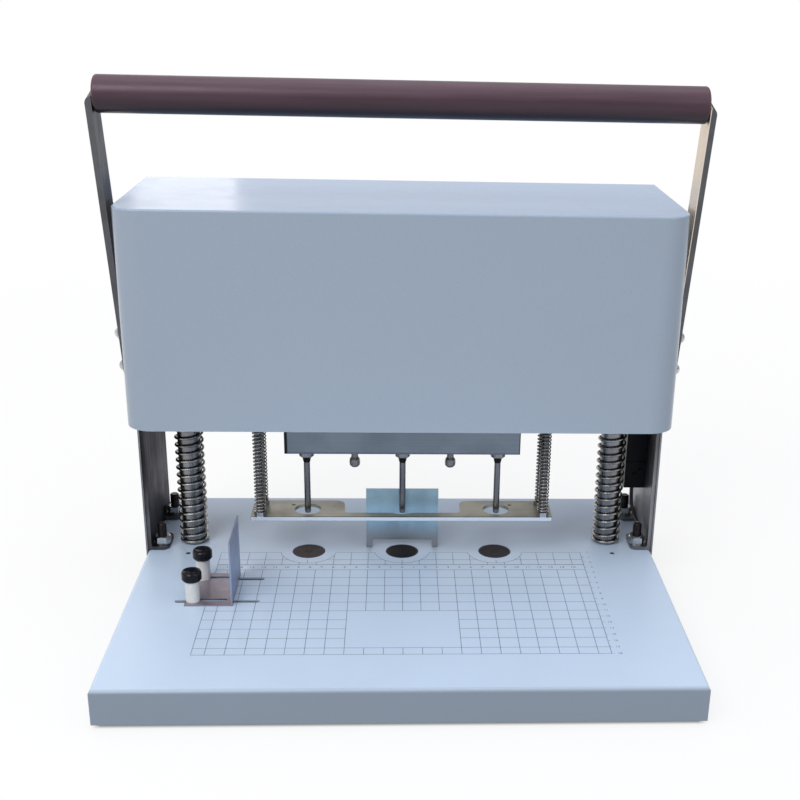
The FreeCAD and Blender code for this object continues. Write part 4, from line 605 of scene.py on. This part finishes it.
finishOf = {
    "base_tray": tablePaint, "head_cover": coverPaint, "rear_cover": coverPaint, "motor": motorPaint,
    "side_bracket_left": bracketZincPaintedShade, "side_bracket_right": bracketZinc, "top_crossbar": headSteel,
    "side_panel_left": panelSteel, "side_panel_right": panelSteel, "base_plate": headSteel,
    "presser_plate": pressZinc, "drill_box": boxSteel, "carriage_plate": headSteel,
    "back_gauge": gaugeZinc, "side_guide": guideZinc, "column_left": columnChrome,
    "column_right": columnChrome, "column_nuts": bracketZinc, "bracket_nuts": nutZinc,
    "presser_nuts": nutZinc, "frame_screws": bracketZinc, "bracket_studs": studBlack,
    "presser_rods": rodSteel, "spindle_housing": headSteel, "spindle_bearings": columnChrome,
    "spindle_left": toolSteel, "spindle_center": toolSteel, "spindle_right": toolSteel,
    "drill_bit_left": bitSteel, "drill_bit_center": bitSteel, "drill_bit_right": bitSteel,
    "box_knobs": knurledSteel,
    "drive_belts": beltRubber, "pulley_left": headSteel, "pulley_center": headSteel,
    "pulley_right": headSteel, "motor_pulley": headSteel, "racks": armSteel, "pinions": armSteel,
    "lever_hubs": panelSteel, "lever_arm_left": armSteel, "lever_arm_right": armPaintedLight, "arm_cap_nuts": nutZinc,
    "grip_core": panelSteel, "handle_grip": gripLacquer, "hub_bushes": bronze, "guide_bushes": bronze,
    "cutting_pads": padPlastic, "rubber_feet": footRubber, "electrical_box": boxPlastic,
    "power_inlet": boxPlastic, "guide_spacers": nylon, "guide_bolts": studBlack,
    "guide_knob_front": knobBlack, "guide_knob_rear": knobBlack, "gauge_knob": knobBlack,
}
replacedNodes = ("column_spring_left", "column_spring_right", "presser_springs", "earth_lead")
for name, node in nodes.items():
    if name in finishOf:
        slots = node.data.materials
        if not slots:
            slots.append(None)
        for k in range(len(slots)):
            slots[k] = finishOf[name]
    elif name not in replacedNodes:
        print("no finish yet for", name)
print("finishes on", len(finishOf), "nodes")


# Springs: round wire wound about each column and each rod, with closed ends

closedPitch = 2.05        # rise of an end turn, in radii of the wire
columnSpring = {"turns": 20, "sides": 10, "steps": 36, "wire": 1.15 * mm, "coil": 11.6 * mm}
rodSpring = {"turns": 30, "sides": 8, "steps": 24, "wire": 0.6 * mm, "coil": 4.25 * mm}


def windSpring(height, spring):
    # One coil about the z axis, standing on z = 0
    bm = bmesh.new()
    wire, steps = spring["wire"], spring["steps"]
    ring = bmesh.ops.create_circle(bm, segments=spring["sides"], radius=wire)["verts"]
    stand = Matrix.Translation((spring["coil"], 0, wire)) @ Matrix.Rotation(math.pi / 2, 4, "X")
    bmesh.ops.transform(bm, matrix=stand, verts=ring)
    edges = list({edge for vert in ring for edge in vert.link_edges})
    closedRise = closedPitch * wire
    rise = (height - 2 * wire - 2 * closedRise) / (spring["turns"] - 2)
    geometry = ring + edges
    for turns, pitch in ((1, closedRise), (spring["turns"] - 2, rise), (1, closedRise)):
        spun = bmesh.ops.spin(bm, geom=geometry, cent=(0, 0, 0), axis=(0, 0, 1), angle=turns * 2 * math.pi,
                              steps=turns * steps, dvec=(0, 0, pitch / steps), use_merge=False)
        geometry = spun["geom_last"]
    bmesh.ops.holes_fill(bm, edges=[edge for edge in bm.edges if edge.is_boundary], sides=spring["sides"])
    coil = bpy.data.meshes.new("coil")
    bm.to_mesh(coil)
    bm.free()
    return coil


def springsAt(name, body, coil, places, bottom):
    bm = bmesh.new()
    for x, y in places:
        start = len(bm.verts)
        bm.from_mesh(coil)
        bm.verts.ensure_lookup_table()
        bmesh.ops.translate(bm, vec=(x, y, bottom), verts=bm.verts[start:])
    return pieceFrom(bm, name, body, springSteel)


low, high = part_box("column_spring_left")
columnCoil = windSpring(high.z - low.z, columnSpring)
for side in ("left", "right"):
    low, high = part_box("column_spring_" + side)
    centre = (low + high) / 2
    coil = springsAt("column_coil_" + side, "frame", columnCoil, [(centre.x, centre.y)], low.z)
    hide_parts("column_spring_" + side)
    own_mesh(coil)

low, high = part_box("presser_springs")
reachX = (high.x - low.x) / 2 - rodSpring["coil"] - rodSpring["wire"]
reachY = rodSpring["coil"] + rodSpring["wire"]
rodCoil = windSpring(high.z - low.z, rodSpring)
rodPlaces = [(x, y) for x in (-reachX, reachX) for y in (low.y + reachY, high.y - reachY)]
rodCoils = springsAt("rod_coils", "carriage", rodCoil, rodPlaces, low.z)
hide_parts("presser_springs")
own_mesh(rodCoils)
print("springs wound")


# The short lead from the box to the front stud, its sleeve and eyelet

def soften(bm, edges, width):
    bmesh.ops.bevel(bm, geom=edges, offset=width, offset_type="OFFSET", affect="EDGES", segments=2,
                    profile=0.5, material=-1)


lead = {"diameter": 3.2 * mm, "sleeve": 2.3 * mm, "sleeveTaper": 0.92, "sleeveLength": 9.2 * mm,
        "sleeveEdge": 0.4 * mm, "sleeveSides": 20}
eye = {"inner": 4.2 * mm, "outer": 6.2 * mm, "thick": 0.8 * mm, "tail": (4 * mm, 4.8 * mm),
       "tailPlace": (3.2 * mm, 6.6 * mm), "edge": 0.2 * mm, "steps": 40}
studX, studY, eyeZ, boxZ = 0.2137, 0.0685, 0.0414, 0.078
leadRoute = [
    (studX - 0.0012, studY + 0.0335, boxZ),
    (studX - 0.0012, studY + 0.033, eyeZ + 0.019),
    (studX + 0.0014, studY + 0.027, eyeZ + 0.010),
    (studX + 0.0034, studY + 0.017, eyeZ + 0.0055),
    (studX + 0.0032, studY + 0.0076, eyeZ + 0.0020),
]
leadCurve = bpy.data.curves.new("earth_lead_wire", "CURVE")
leadCurve.dimensions = "3D"
line = leadCurve.splines.new("NURBS")
line.points.add(len(leadRoute) - 1)
for point, place in zip(line.points, leadRoute):
    point.co = (*place, 1)
line.order_u = 3
line.use_endpoint_u = True
line.resolution_u = 14
leadCurve.bevel_depth = lead["diameter"] / 2
leadCurve.bevel_resolution = 4
leadCurve.use_fill_caps = True
leadCurve.materials.append(leadBlack)
leadPiece = bpy.data.objects.new("earth_lead_wire", leadCurve)
bpy.context.scene.collection.objects.link(leadPiece)
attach(leadPiece, "frame")
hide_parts("earth_lead")

end, before = Vector(leadRoute[-1]), Vector(leadRoute[-2])
along = (before - end).normalized()
bm = bmesh.new()
bmesh.ops.create_cone(bm, cap_ends=True, segments=lead["sleeveSides"], radius1=lead["sleeve"],
                      radius2=lead["sleeve"] * lead["sleeveTaper"], depth=lead["sleeveLength"],
                      matrix=Matrix.Translation(end + along * lead["sleeveLength"] * 0.5)
                      @ along.to_track_quat("Z", "Y").to_matrix().to_4x4())
soften(bm, [edge for edge in bm.edges if edge.calc_face_angle(0) > 1], lead["sleeveEdge"])
sleeve = pieceFrom(bm, "lead_sleeve", "frame", leadSleeveYellow)

bm = bmesh.new()
section = ((eye["inner"], 0), (eye["outer"], 0), (eye["outer"], eye["thick"]), (eye["inner"], eye["thick"]))
corners = [bm.verts.new((studX + r, studY, eyeZ + z)) for r, z in section]
rim = [bm.edges.new((corners[k], corners[(k + 1) % 4])) for k in range(4)]
bmesh.ops.spin(bm, geom=corners + rim, cent=(studX, studY, 0), axis=(0, 0, 1), angle=2 * math.pi,
               steps=eye["steps"], use_merge=True)
tail = bmesh.ops.create_cube(bm, size=1)["verts"]
tailPlace = (studX + eye["tailPlace"][0], studY + eye["tailPlace"][1], eyeZ + eye["thick"] / 2)
bmesh.ops.transform(bm, verts=tail, matrix=Matrix.Translation(tailPlace)
                    @ Matrix.Diagonal((*eye["tail"], eye["thick"], 1)))
soften(bm, list({edge for vert in tail for edge in vert.link_edges}), eye["edge"])
eyelet = pieceFrom(bm, "lead_eyelet", "frame", panelSteel, smooth=False)
print("lead laid")


# Printed centimetre scale on the table

scale = {
    "front": drillLine - 0.003,       # the zero row
    "rows": (0, 15, 25, 35, 50, 65, 80, 95, 110, 125, 140, 155, 170, 180),
    "columns": (0, 15, 30, 45, 60, 75, 90, 105, 120, 135, 150, 160),
    "half": 160,
    "band": (25, 35),                 # the numbers sit between these rows
    "blank": (45, 110, 170),          # half width, first and last row of the empty block
    "padRing": 24.5,
    "padCentre": -3,                  # the drill line, in row units
    "ink": 0.42,
    "thick": 0.04 * mm,
    "bold": 0.8,                      # the line over the numbers
    "digit": 4.6,
    "sideDigit": 0.8,                 # the row numbers' share of that size
    "sideReach": 6.5,
    "tick": 2.2,
    "tickInk": 0.3,
    "pads": (-83, 0, 83),
    "behind": -50,                    # a row behind every pad ring
    "slotRows": (93.0, 52.5),         # the side guide's two slots, which the lines stop at
    "slotSide": (-186, -117),
    "slotWide": 4.6,
    "step": 10,                       # from one number to the next
    "lastAcross": 15,
    "lastRow": 18,
    "arcSteps": 48,
    "weld": 0.002 * mm,
}


def inkBar(bm, x0, row0, x1, row1, width):
    # A thin printed bar; x and row in millimetres of the scale
    low = Vector((min(x0, x1) - width / 2, -max(row0, row1) - width / 2, 0)) * mm
    high = Vector((max(x0, x1) + width / 2, -min(row0, row1) + width / 2, 0)) * mm
    middle = (low + high) / 2
    place = Matrix.Translation((middle.x, middle.y + scale["front"], tableTop + scale["thick"] / 2))
    bar = bmesh.ops.create_cube(bm, size=1)["verts"]
    bmesh.ops.transform(bm, verts=bar,
                        matrix=place @ Matrix.Diagonal((high.x - low.x, high.y - low.y, scale["thick"], 1)))


def openRuns(start, end, gaps):
    # The parts of start..end that no gap covers
    runs = [(start, end)]
    for low, high in gaps:
        kept = []
        for a, b in runs:
            if high <= a or low >= b:
                kept.append((a, b))
                continue
            if low > a:
                kept.append((a, low))
            if high < b:
                kept.append((high, b))
        runs = kept
    return runs


def ringReach(offset):
    # Half the pad ring's width at an offset from its centre, or 0 outside it
    reach = scale["padRing"] ** 2 - offset ** 2
    return math.sqrt(reach) if reach > 0 else 0


def drawGrid(bm):
    half, ink, ring, centre = scale["half"], scale["ink"], scale["padRing"], scale["padCentre"]
    wide, first, last = scale["blank"]
    slotHalf = scale["slotWide"] / 2
    for row in scale["rows"]:
        reach = ringReach(row - centre)
        gaps = [(x - reach, x + reach) for x in scale["pads"]] if reach else []
        if first < row < last:
            gaps.append((-wide, wide))
        if any(abs(row - slotRow) < slotHalf for slotRow in scale["slotRows"]):
            gaps.append(scale["slotSide"])
        for a, b in openRuns(-half, half, gaps):
            inkBar(bm, a, row, b, row, scale["bold"] if row == scale["band"][0] else ink)
    for column in scale["columns"]:
        for x in {column, -column}:
            gaps = [] if column == half else [scale["band"]]
            if abs(x) < wide:
                gaps.append((first, last))
            if scale["slotSide"][0] < x < scale["slotSide"][1]:
                gaps += [(slotRow - slotHalf, slotRow + slotHalf) for slotRow in scale["slotRows"]]
            for pad in scale["pads"]:
                reach = ringReach(x - pad)
                if reach:
                    gaps.append((scale["behind"], centre + reach))
            for a, b in openRuns(0, scale["rows"][-1], gaps):
                inkBar(bm, x, a, x, b, ink)
    for x in scale["pads"]:
        inkBar(bm, x, scale["rows"][1], x, centre + ring, ink)
        drawArc(bm, x, ring, ink)


def drawArc(bm, x, ring, ink):
    # The ring round a pad, only in front of the zero row
    dip = math.asin(-scale["padCentre"] / ring)
    centre = Vector((x * mm, scale["front"] - scale["padCentre"] * mm, 0))
    inner, outer = (ring - ink / 2) * mm, (ring + ink / 2) * mm
    corners = [bm.verts.new((centre.x + r * math.cos(dip), centre.y - r * math.sin(dip), tableTop + z))
               for r, z in ((inner, 0), (outer, 0), (outer, scale["thick"]), (inner, scale["thick"]))]
    outline = [bm.edges.new((corners[k], corners[(k + 1) % 4])) for k in range(4)]
    bmesh.ops.spin(bm, geom=corners + outline, cent=centre, axis=(0, 0, -1), angle=math.pi - 2 * dip,
                   steps=scale["arcSteps"], use_merge=False)
    bmesh.ops.holes_fill(bm, edges=[edge for edge in bm.edges if edge.is_boundary], sides=4)


def drawDigits(bm, text, x, row, size):
    words = bpy.data.curves.new("digits", "FONT")
    words.body = text
    words.size = size * mm
    words.align_x = "CENTER"
    words.align_y = "CENTER"
    words.extrude = scale["thick"] / 2
    words.resolution_u = 3
    holder = bpy.data.objects.new("digits", words)
    bpy.context.scene.collection.objects.link(holder)
    shape = bpy.data.meshes.new_from_object(holder.evaluated_get(bpy.context.evaluated_depsgraph_get()))
    shape.transform(Matrix.Translation((x * mm, scale["front"] - row * mm, tableTop + scale["thick"] / 2)))
    bm.from_mesh(shape)
    bpy.data.objects.remove(holder)
    bpy.data.meshes.remove(shape)


bm = bmesh.new()
drawGrid(bm)
pieceFrom(bm, "table_grid_lines", "frame", scaleInk, smooth=False)

bm = bmesh.new()
bandRow = sum(scale["band"]) / 2
for count in range(scale["lastAcross"] + 1):
    for x in {count * scale["step"], -count * scale["step"]}:
        drawDigits(bm, str(count), x, bandRow, scale["digit"])
for count in range(scale["lastRow"] + 1):
    row, side = count * scale["step"], scale["half"]
    drawDigits(bm, str(count), side + scale["sideReach"], row, scale["digit"] * scale["sideDigit"])
    inkBar(bm, side, row, side + scale["tick"], row, scale["tickInk"])
bmesh.ops.remove_doubles(bm, verts=bm.verts, dist=scale["weld"])
pieceFrom(bm, "table_numbers", "frame", scaleInk, smooth=False)
print("scale printed")


# Floor, world and lamps

def makeFloor():
    # White to the camera and in reflections, a middle grey to the light that it throws back; under the tray's
    # footprint a dark grey, a painted shadow with a soft edge
    look = {"size": 30, "near": 0.55, "far": 1.6, "share": 0.78, "edge": 6 * mm,
            "dim": (0.12, 0.12, 0.125), "pale": (0.85, 0.85, 0.86)}
    bm = bmesh.new()
    bmesh.ops.create_grid(bm, x_segments=1, y_segments=1, size=look["size"])
    mesh = bpy.data.meshes.new("floor")
    bm.to_mesh(mesh)
    bm.free()
    floor = bpy.data.objects.new("floor", mesh)
    bpy.context.scene.collection.objects.link(floor)
    material = bpy.data.materials.new("paleFloor")
    material.use_nodes = True
    tree = material.node_tree
    tree.nodes.remove(tree.nodes["Principled BSDF"])
    out = tree.nodes["Material Output"]
    place = placeOf(tree)
    split = splitOf(tree, place)
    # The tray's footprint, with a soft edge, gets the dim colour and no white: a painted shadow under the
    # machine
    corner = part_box("base_tray")[1]
    under = []
    for axis, reach in (("X", corner.x), ("Y", corner.y)):
        away = sumOf(tree, "ABSOLUTE", split[axis])
        under.append(spread(tree, away, reach, reach - look["edge"]))
    paintedShadowUnderTray = sumOf(tree, "MULTIPLY", *under)
    share = spread(tree, vectorOf(tree, "LENGTH", place), look["near"], look["far"], look["share"], 1.0)
    seen = put(tree, "ShaderNodeLightPath").outputs
    mirrored = sumOf(tree, "MAXIMUM", seen["Is Glossy Ray"], seen["Is Transmission Ray"])
    direct = sumOf(tree, "MAXIMUM", seen["Is Camera Ray"], mirrored)
    shown = sumOf(tree, "MULTIPLY", direct, sumOf(tree, "SUBTRACT", 1.0, paintedShadowUnderTray))
    matt = put(tree, "ShaderNodeBsdfDiffuse")
    join(tree, blendOf(tree, shown, look["dim"], look["pale"]), matt.inputs["Color"])
    white = put(tree, "ShaderNodeEmission", {"Color": (1, 1, 1, 1), "Strength": 1.0})
    mixed = put(tree, "ShaderNodeMixShader")
    join(tree, sumOf(tree, "MULTIPLY", shown, share), mixed.inputs[0])
    join(tree, matt.outputs[0], mixed.inputs[1])
    join(tree, white.outputs[0], mixed.inputs[2])
    join(tree, mixed.outputs[0], out.inputs["Surface"])
    mesh.materials.append(material)


def makeWorld():
    # A soft studio: bright above and behind, paler at the left, dim on the camera's side
    look = {"right": (0.34, 0.33, 0.35), "left": (0.88, 0.83, 0.82), "near": (0.31, 0.33, 0.36),
            "above": (0.96, 0.98, 1.02), "back": (1.0, 1.0, 1.0), "leftWay": (0.45, -0.45),
            "nearWay": (0.1, -0.6), "aboveWay": (0.15, 0.85), "backWay": (0.55, 0.95), "mirrored": 0.25}
    world = bpy.data.worlds.new("studio")
    bpy.context.scene.world = world
    world.use_nodes = True
    tree = world.node_tree
    way = splitOf(tree, put(tree, "ShaderNodeTexCoord").outputs["Generated"])
    low = blendOf(tree, spread(tree, way["X"], *look["leftWay"]), look["right"], look["left"])
    low = blendOf(tree, spread(tree, way["Y"], *look["nearWay"]), low, look["near"])
    room = blendOf(tree, spread(tree, way["Z"], *look["aboveWay"]), low, look["above"])
    seen = put(tree, "ShaderNodeLightPath").outputs
    mirrored = sumOf(tree, "MAXIMUM", seen["Is Glossy Ray"], seen["Is Transmission Ray"])
    behind = spread(tree, way["Y"], *look["backWay"], 0.0, look["mirrored"])
    direct = sumOf(tree, "MAXIMUM", seen["Is Camera Ray"], sumOf(tree, "MULTIPLY", mirrored, behind))
    back = tree.nodes["Background"]
    join(tree, blendOf(tree, direct, room, look["back"]), back.inputs["Color"])
    back.inputs["Strength"].default_value = 1.0


lampAim = Vector((0, 0, 0.18))
lamps = {     # place, width and height in metres, watts, colour
    "keyLeft": ((-1.1, -1.5, 1.9), (1.5, 1.1), 23, (1.0, 0.98, 0.955)),
    "fillRight": ((1.5, -1.1, 1.2), (1.2, 1.2), 4, (0.94, 0.97, 1.0)),
    "sheenLeft": ((-0.955, 1.75, 0.75), (0.59, 0.6), 1.1, (1.0, 0.99, 0.98)),      # shine on the cover's top
    "sheenNear": ((-0.45, 1.75, 0.75), (0.22, 0.6), 0.36, (1.0, 0.94, 0.92)),
    "top": ((0.1, 0.1, 2.2), (1.4, 1.4), 5, (0.97, 0.98, 1.0)),
}


def makeLamps():
    for name, (place, size, power, color) in lamps.items():
        data = bpy.data.lights.new(name, "AREA")
        data.shape = "RECTANGLE"
        data.size, data.size_y = size
        data.energy = power
        data.color = color
        light = bpy.data.objects.new(name, data)
        bpy.context.scene.collection.objects.link(light)
        place = Vector(place)
        light.matrix_world = (Matrix.Translation(place)
                              @ (place - lampAim).to_track_quat("Z", "Y").to_matrix().to_4x4())


makeFloor()
makeWorld()
makeLamps()
bpy.context.scene.view_settings.view_transform = "Standard"
print("studio lit")
